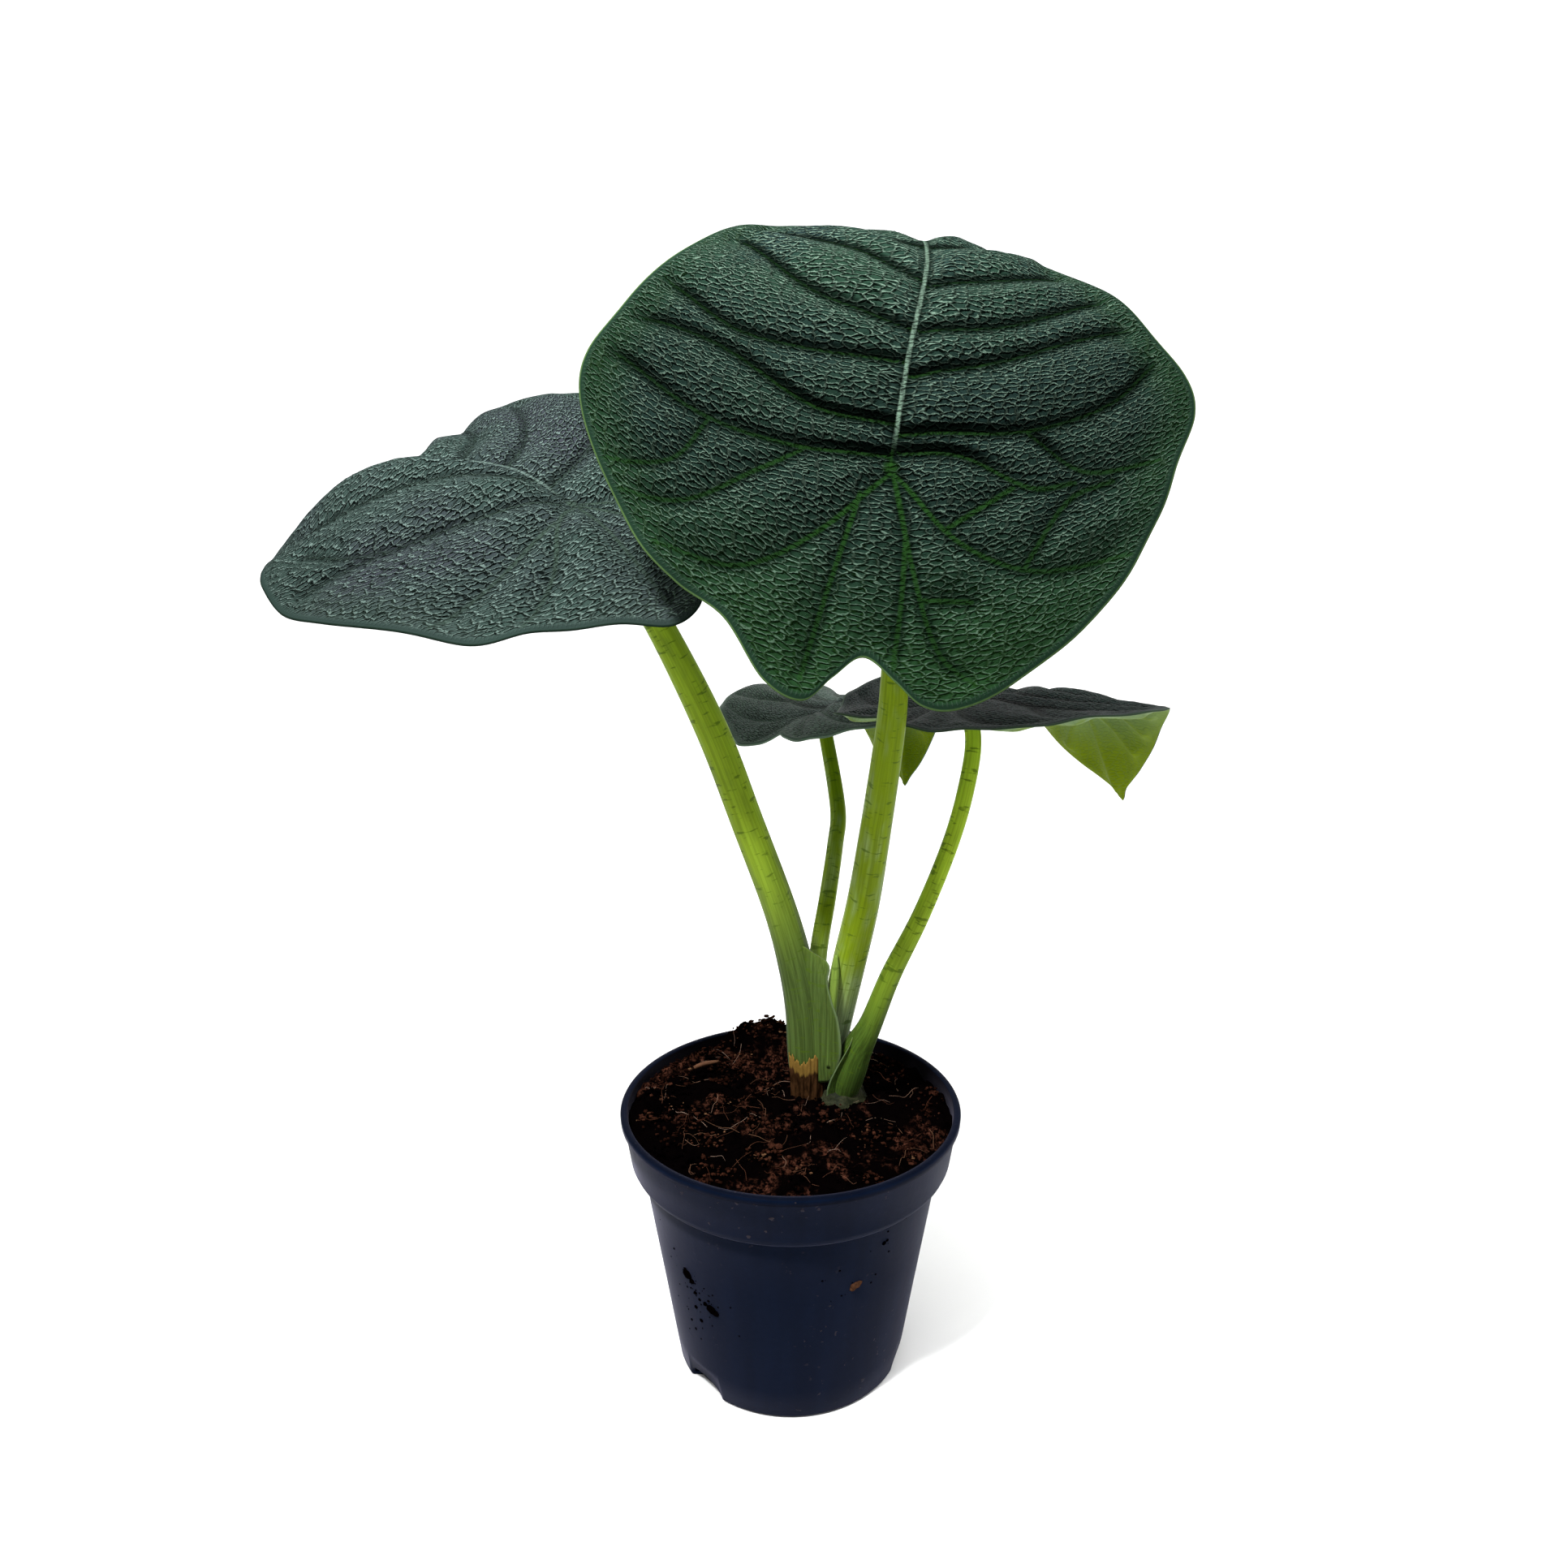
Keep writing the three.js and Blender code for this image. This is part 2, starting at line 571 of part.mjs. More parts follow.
// Soil: a plug that fills the pot, with a lumpy top, a heap at the back left, a mound round the
// stem and a hollow at each side of it

// Bump of a height round [x, y], with its half-widths
function bump(x, y, { at, spread, height }) {
  return height * Math.exp(-(((x - at[0]) / spread[0]) ** 2) - (((y - at[1]) / spread[1]) ** 2));
}

const SOIL_BUMPS = [
  { at: [-10, 47], spread: [18, 10], height: 11.5 },
  { at: [4, 9], spread: [10, 8], height: 2.5 },
  { at: [-8, 15], spread: [8, 9], height: -3.5 },
  { at: [39, 23], spread: [9, 10], height: -3.5 },
];

// A share from 0 to 1 that jumps from spot to spot, as loose crumbs do
const scattered = (x, y) => Math.abs(Math.sin(12.9898 * x + 78.233 * y) * 43758.5453) % 1;

function soilHeight(x, y) {
  const towardRim = ease(Math.hypot(x, y), 51, 58);
  const bumps = SOIL_BUMPS.reduce((sum, spot) => sum + bump(x, y, spot), 0);
  const frontFill = 1.6 * ease(-y, 10, 50) + 1.4 * ease(-x, 15, 50);
  const lumps = 0.9 * Math.sin(0.31 * x + 1.3) * Math.cos(0.27 * y + 0.4)
    + 0.6 * Math.sin(0.55 * x - 0.4 * y) + 0.4 * Math.cos(0.83 * y + 0.5 * x);
  const crumb = 0.7 * scattered(x, y);
  return SOIL_LEVEL + bumps * (1 - towardRim) + frontFill + lumps + crumb - 1.5 * towardRim;
}

function soilPlug() {
  const bottom = POT_FLOOR + CLEARANCE;
  const sideHeights = [bottom, SHOULDER_HEIGHT - 3, SHOULDER_HEIGHT + 5, SOIL_LEVEL - 4];
  const side = sideHeights.map((height) => [potInnerRadius(height) - CLEARANCE - 0.2, height]);
  side[1][0] -= 0.6;
  const outer = side.at(-1)[0];
  const top = Array.from({ length: SOIL_RINGS }, (_, i) => [outer * (1 - i / SOIL_RINGS), SOIL_LEVEL]);
  const profile = [[0, bottom], ...side, ...top, [0, SOIL_LEVEL]];
  return toSolid(moveVertices(lathed(profile, POT_SIDES), (point) => {
    if (point.z === SOIL_LEVEL) point.z = soilHeight(point.x, point.y);
  }));
}

function cormSolid(extra = 0) {
  const body = new THREE.SphereGeometry(1, 16, 10);
  body.rotateX(Math.PI / 2);
  body.scale(...CORM_SIZE.map((radius) => radius + extra));
  body.translate(...CORM_CENTRE);
  return ROOTS.reduce(
    (solid, root) => solid.add(toSolid(taperedRod(root, 5, 5, extra))), toSolid(body));
}

// Dried sheath: a curved papery scale round the front of the left stalk's foot
const DRY_SHEATH = { centre: [6.5, 11], radius: 8.2, thickness: 0.8, top: 111, from: -62, to: 54 };

function driedSheath(extra = 0) {
  const { centre, radius, thickness, top, from, to } = DRY_SHEATH;
  const widening = 2.5 * extra / radius;
  const plate = new THREE.BoxGeometry(1, 1, 1, 10, 4, 1);
  return toSolid(moveVertices(plate, (point) => {
    const angle = radians(mix(from, to, point.x + 0.5)) + Math.sign(point.x) * widening;
    const height = point.y + 0.5;
    const ragged = 1.5 * Math.sin(5 * angle) - 2.5 * Math.abs(point.x);
    const reach = radius - 1.4 * (1 - height) + point.z * (thickness + 2 * extra);
    point.x = centre[0] + reach * Math.sin(angle);
    point.y = centre[1] - reach * Math.cos(angle);
    point.z = mix(90 - extra, top + ragged, height);
  }));
}

// Assembly

function trimmedStalks() {
  const order = ['front', 'left', 'right', 'back'];
  const taken = [];
  const stalks = {};
  order.forEach((name) => {
    let solid = stalkSolid(name);
    if (name === 'left') solid = solid.add(wingSolid());
    taken.forEach((cutter) => {
      solid = solid.subtract(cutter);
    });
    stalks[name] = largestBody(solid.subtract(toSolid(bladeGeometry(BLADES[name], CLEARANCE))));
    taken.push(stalkSolid(name, CLEARANCE));
    if (name === 'left') taken.push(wingSolid(CLEARANCE));
  });
  return { stalks, taken };
}

function plant() {
  const group = new THREE.Group();
  const { stalks, taken } = trimmedStalks();
  Object.entries(stalks).forEach(([name, solid]) => {
    group.add(namedMesh(`petiole_${name}`, toGeometry(solid), COLOURS.stalk, 0.5));
  });
  Object.entries(BLADES).forEach(([name, blade]) => {
    group.add(namedMesh(`leaf_${name}`, bladeGeometry(blade), blade.colour, 0.45));
  });
  const clear = (solid) => taken.reduce((rest, cutter) => rest.subtract(cutter), solid);
  const shoot = largestBody(clear(toSolid(taperedRod(SHOOT, 8, 8))));
  group.add(namedMesh('new_shoot', toGeometry(shoot), COLOURS.stalk, 0.4));
  const corm = largestBody(clear(cormSolid()));
  group.add(namedMesh('corm_with_roots', toGeometry(corm), COLOURS.corm, 0.6));
  const sheath = largestBody(clear(driedSheath()).subtract(cormSolid(CLEARANCE)));
  group.add(namedMesh('dried_sheath', toGeometry(sheath), COLOURS.sheath, 0.8));
  const buried = cormSolid(CLEARANCE).add(driedSheath(CLEARANCE));
  const soil = largestBody(clear(soilPlug()).subtract(buried));
  group.add(namedMesh('potting_soil', toGeometry(soil), COLOURS.soil, 0.95));
  return group;
}

const alocasia = new THREE.Group();
alocasia.add(plant());
alocasia.add(namedMesh('nursery_pot', nurseryPot(), COLOURS.pot, 0.45));

export default alocasia;
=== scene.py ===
"""Potted alocasia: quilted blades, fleshy stalks and potting mix in a nursery pot."""

import math
import random

import bmesh
import bpy
import numpy as np
from bpy.props import FloatProperty, FloatVectorProperty, IntProperty, PointerProperty
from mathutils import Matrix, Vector, noise


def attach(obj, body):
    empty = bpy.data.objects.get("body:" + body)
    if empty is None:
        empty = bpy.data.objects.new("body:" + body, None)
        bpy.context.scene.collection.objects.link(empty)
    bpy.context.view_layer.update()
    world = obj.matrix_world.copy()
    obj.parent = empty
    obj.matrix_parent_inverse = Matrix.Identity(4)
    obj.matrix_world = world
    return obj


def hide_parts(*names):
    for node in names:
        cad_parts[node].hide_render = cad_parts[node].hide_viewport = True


bl_info = {
    "name": "Potted Alocasia",
    "version": (1, 0, 0),
    "blender": (4, 5, 0),
    "location": "3D View > Sidebar > Alocasia",
    "description": "Builds a potted alocasia with quilted leaves round its packed solids",
    "category": "Object",
}

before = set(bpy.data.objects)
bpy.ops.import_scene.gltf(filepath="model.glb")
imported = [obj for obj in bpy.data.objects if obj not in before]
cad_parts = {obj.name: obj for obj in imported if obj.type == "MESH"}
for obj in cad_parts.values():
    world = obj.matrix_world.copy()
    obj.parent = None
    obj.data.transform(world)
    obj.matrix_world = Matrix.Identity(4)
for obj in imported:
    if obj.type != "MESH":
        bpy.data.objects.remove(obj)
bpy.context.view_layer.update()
MM = 0.001


# Curves and sheets, in millimetres


def smooth_step(value, low, high):
    share = np.clip((value - low) / (high - low), 0, 1)
    return share * share * (3 - 2 * share)


def cubic_through(knots, at):
    """Cubic through the knots, with each knot's slope weighted from both neighbours."""
    x, y = np.array(knots, float).T
    gap = np.diff(x)
    rise = np.diff(y) / gap
    slope = np.concatenate([rise[:1], np.empty(len(gap) - 1), rise[-1:]])
    slope[1:-1] = (rise[1:] * gap[:-1] + rise[:-1] * gap[1:]) / (gap[:-1] + gap[1:])
    at = np.clip(np.asarray(at, float), x[0], x[-1])
    k = np.clip(np.searchsorted(x, at, side="right") - 1, 0, len(gap) - 1)
    t = (at - x[k]) / gap[k]
    start = y[k] * (1 + 2 * t) * (1 - t) ** 2 + slope[k] * gap[k] * t * (1 - t) ** 2
    end = y[k + 1] * t * t * (3 - 2 * t) + slope[k + 1] * gap[k] * t * t * (t - 1)
    return start + end


def turning_curve(knots, at):
    """Angle, run and climb at distances along a curve whose direction is known from 0."""
    reach = 170
    steps = np.arange(-reach, reach + 1)
    angle = np.radians(cubic_through(knots, steps))
    middle = (angle[1:] + angle[:-1]) / 2
    along = np.concatenate([[0], np.cumsum(np.cos(middle))])
    up = np.concatenate([[0], np.cumsum(np.sin(middle))])
    along -= along[reach]
    up -= up[reach]
    return [np.interp(at, steps, table) for table in (angle, along, up)]


def catmull_rom(points, per_span, closed=False):
    """Points along a smooth line through the given ones."""
    knots = np.array(points, float)
    if closed:
        knots = np.vstack([knots[-1:], knots, knots[:2]])
    else:
        knots = np.vstack([2 * knots[:1] - knots[1:2], knots, 2 * knots[-1:] - knots[-2:-1]])
    t = np.arange(per_span)[:, None] / per_span
    spans = []
    for a, b, c, d in zip(knots, knots[1:], knots[2:], knots[3:]):
        bend = (2 * a - 5 * b + 4 * c - d) * t**2 + (3 * b - a - 3 * c + d) * t**3
        spans.append((2 * b + (c - a) * t + bend) / 2)
    line = np.vstack(spans)
    return line if closed else np.vstack([line, knots[-2]])


# Blades: flat coordinates run x to the right and y toward the tip, from the stalk's insertion


def mirrored(points):
    return [(-x, y) for x, y in points]


FRONT_OUTLINE = [
    (8, 150), (24, 132), (39, 117), (52, 102), (63, 87), (77, 67), (89, 48), (92, 32), (85, 12),
    (80, -5), (71, -24), (57, -42), (38, -59), (23, -67), (13, -67), (5, -61), (-4, -55),
    (-12, -61), (-20, -68), (-31, -63), (-43, -47), (-57, -38), (-70, -25), (-84, -1), (-91, 18),
    (-90, 34), (-81, 53), (-69, 69), (-55, 88), (-44, 104), (-28, 121), (-9, 136),
]
FRONT_VEINS = [
    [(0, 0), (3, 34), (8, 71), (9, 110), (8, 150)],
    [(0, 3), (-27, 3), (-55, 12), (-82, 33)],
    [(1, 12), (-23, 15), (-50, 33), (-76, 47)],
    [(2, 31), (-25, 33), (-48, 40), (-69, 61)],
    [(4, 42), (-26, 55), (-47, 81)],
    [(7, 62), (-12, 77), (-40, 95)],
    [(9, 84), (-8, 100), (-24, 112)],
    [(-25, 2), (-38, -5), (-57, -14), (-78, -11)],
    [(-52, 10), (-62, -2), (-82, -2)],
    [(0, -2), (-19, -21), (-40, -32), (-64, -27)],
    [(-8, -9), (-16, -40), (-21, -62)],
    [(1, 9), (36, 14), (64, 29), (80, 50)],
    [(3, 26), (33, 37), (72, 63)],
    [(4, 41), (34, 50), (66, 76)],
    [(7, 59), (35, 73), (54, 92)],
    [(9, 84), (28, 98), (40, 110)],
    [(39, 14), (57, 6), (80, 14)],
    [(2, 4), (20, 4), (40, -2), (54, 2)],
    [(1, -2), (19, -20), (43, -26), (72, -17)],
    [(40, -25), (52, -4), (66, 5)],
    [(17, -17), (35, -3)],
    [(1, -3), (7, -28), (16, -51), (27, -60)],
    [(11, -38), (25, -37)],
    [(5, -21), (5, -41), (4, -58)],
]
LEFT_OUTLINE = [
    (-2, 143), (12, 134), (30, 124), (49, 111), (66, 93), (79, 72), (86, 50), (82, 28), (75, 6),
    (66, -17), (54, -31), (40, -47), (29, -59), (19, -61), (9, -55), (0, -50), (-9, -55),
    (-19, -62), (-30, -61), (-40, -48), (-57, -31), (-70, -18), (-78, 6), (-85, 28), (-85, 50),
    (-76, 71), (-64, 91), (-49, 109), (-30, 124), (-12, 134),
]
LEFT_VEINS = [
    [(0, 0), (3, 28), (-2, 61), (-3, 100), (-2, 140)],
    [(1, 15), (-21, 43), (-42, 71), (-52, 94)],
    [(-4, 1), (-27, 12), (-51, 31), (-76, 50)],
    [(-51, 31), (-59, 46), (-60, 66)],
    [(-2, 66), (-18, 86), (-32, 108)],
    [(-18, -7), (-48, -7), (-72, -4)],
    [(0, -2), (-18, -8), (-36, -20), (-58, -27)],
    [(0, -3), (-14, -29), (-24, -54)],
    [(2, 10), (28, 16), (56, 30), (78, 50)],
    [(3, 28), (30, 42), (64, 72)],
    [(0, 45), (26, 62), (48, 92)],
    [(-2, 66), (18, 84), (34, 106)],
    [(30, 16), (54, 4), (74, 6)],
    [(2, -2), (18, -18), (40, -28), (62, -24)],
    [(1, -3), (8, -30), (18, -56)],
]
YOUNG_HALF_OUTLINE = [
    (5, 150), (13, 143), (24, 134), (42, 117), (57, 99), (70, 82), (80, 66), (87, 50), (90, 33),
    (88, 15), (83, 0), (71, -25), (53, -44), (34, -60), (24, -67), (11, -62),
]
YOUNG_OUTLINE = [(0, 158), *YOUNG_HALF_OUTLINE, (0, -54), *mirrored(YOUNG_HALF_OUTLINE)[::-1]]
YOUNG_HALF_VEINS = [
    [(0, 8), (30, 12), (58, 28), (80, 48)],
    [(0, 26), (32, 37), (68, 66)],
    [(0, 46), (28, 60), (56, 88)],
    [(0, 68), (22, 84), (42, 108)],
    [(0, 90), (14, 104), (27, 122)],
    [(36, 14), (58, 4), (80, 6)],
    [(0, -2), (20, -20), (42, -28), (70, -20)],
    [(0, -3), (8, -30), (20, -60)],
]
YOUNG_VEINS = [
    [(0, 0), (0, 60), (0, 110), (0, 158)],
    *YOUNG_HALF_VEINS,
    *[mirrored(vein) for vein in YOUNG_HALF_VEINS],
]

# Heading of the tip from +Y toward +X, rise and roll in degrees, size against the front blade,
# rings of the disc, and how the midrib turns and the halves slope, in degrees
BLADES = {
    "front": {
        "insertion": (27.5, -42, 314.5), "heading": 11, "rise": 67.5, "roll": -12.5, "size": 1,
        "rings": 126, "outline": FRONT_OUTLINE, "veins": FRONT_VEINS, "slot": "blade_green",
        "midrib": [(-80, 14), (-30, 5), (0, 0), (35, -8), (65, -26), (85, -42), (105, -59),
                   (125, -76), (150, -104)],
        "across": [(-95, 26), (-60, 12), (-30, 4), (-12, 1), (-6, -4), (0, 0), (6, 4), (12, -3),
                   (30, -9), (60, -14), (95, -11)],
    },
    "left": {
        "insertion": (-69, 5, 307), "heading": -67, "rise": 21, "roll": 14.5, "size": 1,
        "rings": 126, "outline": LEFT_OUTLINE, "veins": LEFT_VEINS, "slot": "blade_grey",
        "midrib": [(-80, 25), (-30, 4), (0, 0), (35, -10), (70, -29), (100, -56), (140, -58)],
        "across": [(-95, 35), (-60, 22.5), (-30, 26), (-12, 8), (-6, -4), (0, 0), (6, 4),
                   (12, 3), (30, 10), (60, 2), (95, -5)],
    },
    "back": {
        "insertion": (12.3, 97, 221.7), "heading": 35.5, "rise": 9.5, "roll": 21, "size": 0.58,
        "rings": 84, "outline": YOUNG_OUTLINE, "veins": YOUNG_VEINS, "slot": "blade_young",
        "midrib": [(-46, 17), (-17, 3), (0, 0), (20, -12), (40, -22), (61, -94), (87, -138)],
        "across": [(-55, -2), (-26, -30), (-5, -9), (-2, -3), (0, 0), (2, 3), (5, -7),
                   (26, -22), (55, -25)],
    },
    "right": {
        "insertion": (60, 23, 238), "heading": 59, "rise": 1, "roll": 7, "size": 0.65,
        "rings": 84, "outline": YOUNG_OUTLINE, "veins": YOUNG_VEINS, "slot": "blade_young",
        "midrib": [(-52, -12), (-19, 7), (0, 0), (23, -0.5), (45, -12), (68, -63), (98, -70)],
        "across": [(-62, -24), (-29, -5), (-5, -1.5), (-2, -3), (0, 0), (2, 3), (5, -2.5),
                   (29, -8.5), (62, 3.5)],
    },
}


def blade_sheet(blade, x, y):
    """Points and upward normals of the smooth bent sheet at flat x and y."""
    heading, rise, roll = (math.radians(blade[key]) for key in ("heading", "rise", "roll"))
    forward = np.array([
        math.sin(heading) * math.cos(rise), math.cos(heading) * math.cos(rise), math.sin(rise)])
    level = np.array([math.cos(heading), -math.sin(heading), 0])
    right = level * math.cos(roll) + np.cross(level, forward) * math.sin(roll)
    up = np.cross(right, forward)
    rib_angle, rib_along, rib_up = turning_curve(blade["midrib"], y)
    half_angle, half_along, half_up = turning_curve(blade["across"], x)
    lift = np.outer(np.cos(rib_angle), up) - np.outer(np.sin(rib_angle), forward)
    point = np.array(blade["insertion"]) + np.outer(rib_along, forward) + np.outer(rib_up, up)
    point = point + np.outer(half_along, right) + lift * half_up[:, None]
    normal = lift * np.cos(half_angle)[:, None] - np.outer(np.sin(half_angle), right)
    return point, normal


def blade_margin(blade):
    """Angle from the tip, reach and arc length of the margin, sorted by angle."""
    line = catmull_rom(blade["outline"], 24, closed=True) * blade["size"]
    order = np.argsort(np.arctan2(line[:, 0], line[:, 1]))
    line = line[order]
    angle = np.arctan2(line[:, 0], line[:, 1])
    reach = np.hypot(*line.T)
    arc = np.concatenate([[0], np.cumsum(np.hypot(*np.diff(line, axis=0).T))])
    return angle, reach, arc


def vein_distance(blade, veins, x, y):
    """Distance to the nearest of some main veins."""
    spots = np.column_stack([x, y])
    best = np.full(len(spots), 1e9)
    for vein in veins:
        line = catmull_rom(vein, 6) * blade["size"]
        for start, end in zip(line, line[1:]):
            run = end - start
            share = np.clip((spots - start) @ run / (run @ run), 0, 1)
            gap = spots - start - share[:, None] * run
            best = np.minimum(best, np.einsum("ij,ij->i", gap, gap))
    return np.sqrt(best)


def of_kind(parts, kind):
    return [part for part in parts if isinstance(part, kind)]


def cut_uprights(shape, cuts):
    """Cuts the edges that run from z 0 to z 1."""
    upright = [e for e in shape.edges if abs(e.verts[0].co.z - e.verts[1].co.z) > 0.5]
    bmesh.ops.subdivide_edges(shape, edges=upright, cuts=cuts)


def closed_sheet(name, flat, cuts=0):
    """A mesh with the flat faces as its underside at z 0 and a copy of them on top at z 1."""
    raised = bmesh.ops.extrude_face_region(flat, geom=flat.faces[:], use_keep_orig=True)
    corners = of_kind(raised["geom"], bmesh.types.BMVert)
    bmesh.ops.translate(flat, verts=corners, vec=(0, 0, 1))
    if cuts:
        cut_uprights(flat, cuts)
    bmesh.ops.recalc_face_normals(flat, faces=flat.faces[:])
    return mesh_from(name, flat)


def disc_mesh(name, rings, cuts=0):
    """A closed disc of triangles, split evenly in six sectors."""
    disc = bmesh.new()
    bmesh.ops.create_circle(disc, segments=6, radius=1, cap_ends=True, cap_tris=True)
    bmesh.ops.subdivide_edges(disc, edges=disc.edges[:], cuts=rings - 1, use_grid_fill=True)
    return closed_sheet(name, disc, cuts)


def plate_mesh(name, across, along):
    """A closed square plate, from -0.5 to 0.5 across and along."""
    plate = bmesh.new()
    bmesh.ops.create_grid(plate, x_segments=across, y_segments=along, size=0.5)
    return closed_sheet(name, plate)


def disc_place(x, y):
    """Share of the reach and angle from the tip of a disc's flat corners."""
    angle = np.arctan2(x, y) % math.tau
    sector = np.floor(angle / (math.pi / 3) + 1e-6)
    turn = angle - sector * math.pi / 3
    share = np.hypot(x, y) * np.cos(turn - math.pi / 6) / math.cos(math.pi / 6)
    side = np.sin(turn) / (np.sin(turn) + np.sin(math.pi / 3 - turn))
    return share, (sector + side) * math.pi / 3


def points_of(mesh):
    flat = np.empty(3 * len(mesh.vertices))
    mesh.vertices.foreach_get("co", flat)
    return flat.reshape(-1, 3)


def place_points(mesh, points):
    """Moves a mesh's points to new places, given in millimetres."""
    mesh.vertices.foreach_set("co", (points * MM).astype(np.float32).ravel())
    mesh.update()


def add_vectors(mesh, name, *columns):
    """A vector at each point, for the materials to read. Columns left out are 0."""
    vectors = np.zeros((len(mesh.vertices), 3), np.float32)
    for k, column in enumerate(columns):
        vectors[:, k] = column
    layer = mesh.attributes.new(name, "FLOAT_VECTOR", "POINT")
    layer.data.foreach_set("vector", vectors.ravel())


def fractal(points, scale, octaves=3, seed=0.0):
    """Smooth noise from about -1 to 1 at each point."""
    offset = Vector((seed, 2 * seed, -seed))
    return np.array([
        noise.fractal(Vector(p) * scale + offset, 1.0, 2.0, octaves) for p in points.tolist()])


def new_piece(name, mesh, materials, nodes=(), smooth=True):
    """Links a finished mesh as a piece that rides on the part and stands for its nodes."""
    piece = bpy.data.objects.new(name, mesh)
    bpy.context.scene.collection.objects.link(piece)
    for material in materials:
        mesh.materials.append(material)
    mesh.polygons.foreach_set("use_smooth", [smooth] * len(mesh.polygons))
    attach(piece, "root")
    if nodes:
        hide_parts(*nodes)
    return piece


def mesh_from(name, shape):
    mesh = bpy.data.meshes.new(name)
    shape.to_mesh(mesh)
    shape.free()
    return mesh


def blade_mesh(name, blade, sizes):
    """A closed blade with its quilting, ribs below, waved margin and thin rounded rim."""
    mesh = disc_mesh(name, blade["rings"])
    corners = points_of(mesh)
    top = corners[:, 2] > 0.5
    share, turn = disc_place(corners[:, 0], corners[:, 1])
    angle = (turn + math.pi) % math.tau - math.pi
    edge_angle, edge_reach, edge_arc = blade_margin(blade)
    reach = np.interp(angle, edge_angle, edge_reach, period=math.tau)
    arc = np.interp(angle, edge_angle, edge_arc)
    size = blade["size"]
    from_centre = share * reach
    to_margin = reach - from_centre
    x = np.sin(turn) * from_centre
    y = np.cos(turn) * from_centre
    vein = vein_distance(blade, blade["veins"], x, y)
    midrib = vein_distance(blade, blade["veins"][:1], x, y)
    # Vein distance a little toward the base, which places the painted shadow on the tip side of the
    # main veins
    tip_side = vein_distance(blade, blade["veins"][1:], x, y - 1.6 * size)
    inner = smooth_step(to_margin, 3 * size, 9 * size)
    pillow = 1 - np.exp(-((vein / (6.5 * size)) ** 1.6))
    dimple = np.exp(-((from_centre / (13 * size)) ** 2))
    wave = (np.sin(9 * angle + 1) + 0.6 * np.sin(16 * angle + 2.5)) / 1.6
    flat = np.column_stack([x, y, np.full(len(x), 40 * size)])
    swell = fractal(flat, 0.09 / size, 2, blade["heading"])
    relief = sizes.pillow / MM * size * inner * (pillow - 0.8)
    relief -= 2.6 * size * dimple
    relief += 1.1 * size * wave * smooth_step(from_centre / reach, 0.7, 1)
    relief += 0.45 * size * swell * inner * smooth_step(vein, 1, 5)
    ridge = 0.3 * np.exp(-((vein / (0.7 * size)) ** 2)) * smooth_step(to_margin, 1, 5)
    rib = 0.9 * size * np.exp(-((vein / 1.9) ** 2)) * smooth_step(to_margin, 0, 9)
    half = sizes.thickness / MM / 2 * (0.45 + 0.55 * smooth_step(to_margin, 0, 2.2))
    point, normal = blade_sheet(blade, x, y)
    height = np.where(top, relief + half + ridge, relief - half - rib)
    place_points(mesh, point + normal * height[:, None])
    lean = np.abs(x) / size
    add_vectors(
        mesh, "net", x / (3.6 * size ** 0.6),
        (y - 0.0045 * lean**2 * size) / (1.6 * size ** 0.6), from_centre / size)
    add_vectors(mesh, "rim", arc, to_margin, vein)
    add_vectors(mesh, "rib", midrib, y, tip_side)
    middle = np.array([sum(top[v] for v in face.vertices) for face in mesh.polygons])
    mesh.polygons.foreach_set("material_index", (middle < 1).astype(np.int32))
    return mesh


# Stalks: points (x, y, z, radius) from the foot to under the blade

STALKS = {
    "front": [
        (14, 17, 88, 4), (15.5, 16, 109.5, 5), (18, 13, 128.5, 5.7), (21, 9, 147, 5.9),
        (24.5, 1, 170, 5.6), (27, -8, 195, 5.2), (30.5, -21, 235, 4.6), (31, -27, 256, 4.1),
        (31, -33, 280, 3.7), (29.5, -38, 299, 3.5), (27.5, -42, 314.5, 3.4),
    ],
    "left": [
        (8, 11, 88, 4.2), (7, 11, 99, 6.3), (6, 11, 109, 7), (5, 10.5, 126.5, 6.9),
        (2, 10, 143.5, 6.3), (-3.8, 9, 166, 5.8), (-15, 8, 198, 5.6), (-26.5, 7, 230, 5.5),
        (-43, 6, 265, 4.7), (-56, 5, 286, 4.3), (-69, 5, 307, 4),
    ],
    "back": [
        (11, 22, 88, 2.9), (10, 24, 118.5, 3.3), (10.3, 27, 140.5, 3.3), (14, 37, 160, 3.2),
        (17.3, 52, 176, 3.1), (18.8, 66, 187, 3.1), (15, 92, 210, 2.9), (12.3, 97, 221.4, 2.7),
    ],
    "right": [
        (19, 9, 93, 4.3), (20, 8, 99, 5.6), (21.5, 7, 106, 6), (24, 6, 114, 5.4),
        (28.5, 4, 125, 4.1), (35.2, 4, 143.5, 3.6), (45.3, 5, 165.5, 3.1), (54.8, 8, 190, 2.9),
        (60, 11, 209, 2.9), (62.5, 16, 225, 2.8), (60, 23, 238, 2.7),
    ],
}
# Sheath wings: the free edge, then the wing's root inside the stalk at its top and its foot,
# as x, y and lift over the free edge
WINGS = {
    "left": ([
        (12.4, 3.4, 148.4), (13.4, 2.8, 146), (13, 2.2, 141), (14.8, 2, 134), (16.8, 1.7, 127.5),
        (17.6, 1.5, 120), (17.5, 1.6, 114), (16.4, 2.4, 108), (14, 4, 102)],
        (2.5, 6.5, 6), (7, 6, -1)),
    "right": ([
        (21.5, 2.5, 120), (20.3, 1.2, 117), (18.4, 1, 112.5), (16, 1.6, 107.5), (13.8, 2.6, 103),
        (12.9, 3.4, 99.5), (13.2, 4.4, 96)],
        (24, 6, -1), (20, 7, -1)),
}
SHOOT = [
    (13.8, 4, 108, 1.4), (14, 4, 120, 1.7), (14.5, 4, 132, 1.8), (15.5, 4, 143.5, 1.6),
    (16, 4, 150.5, 0.5),
]
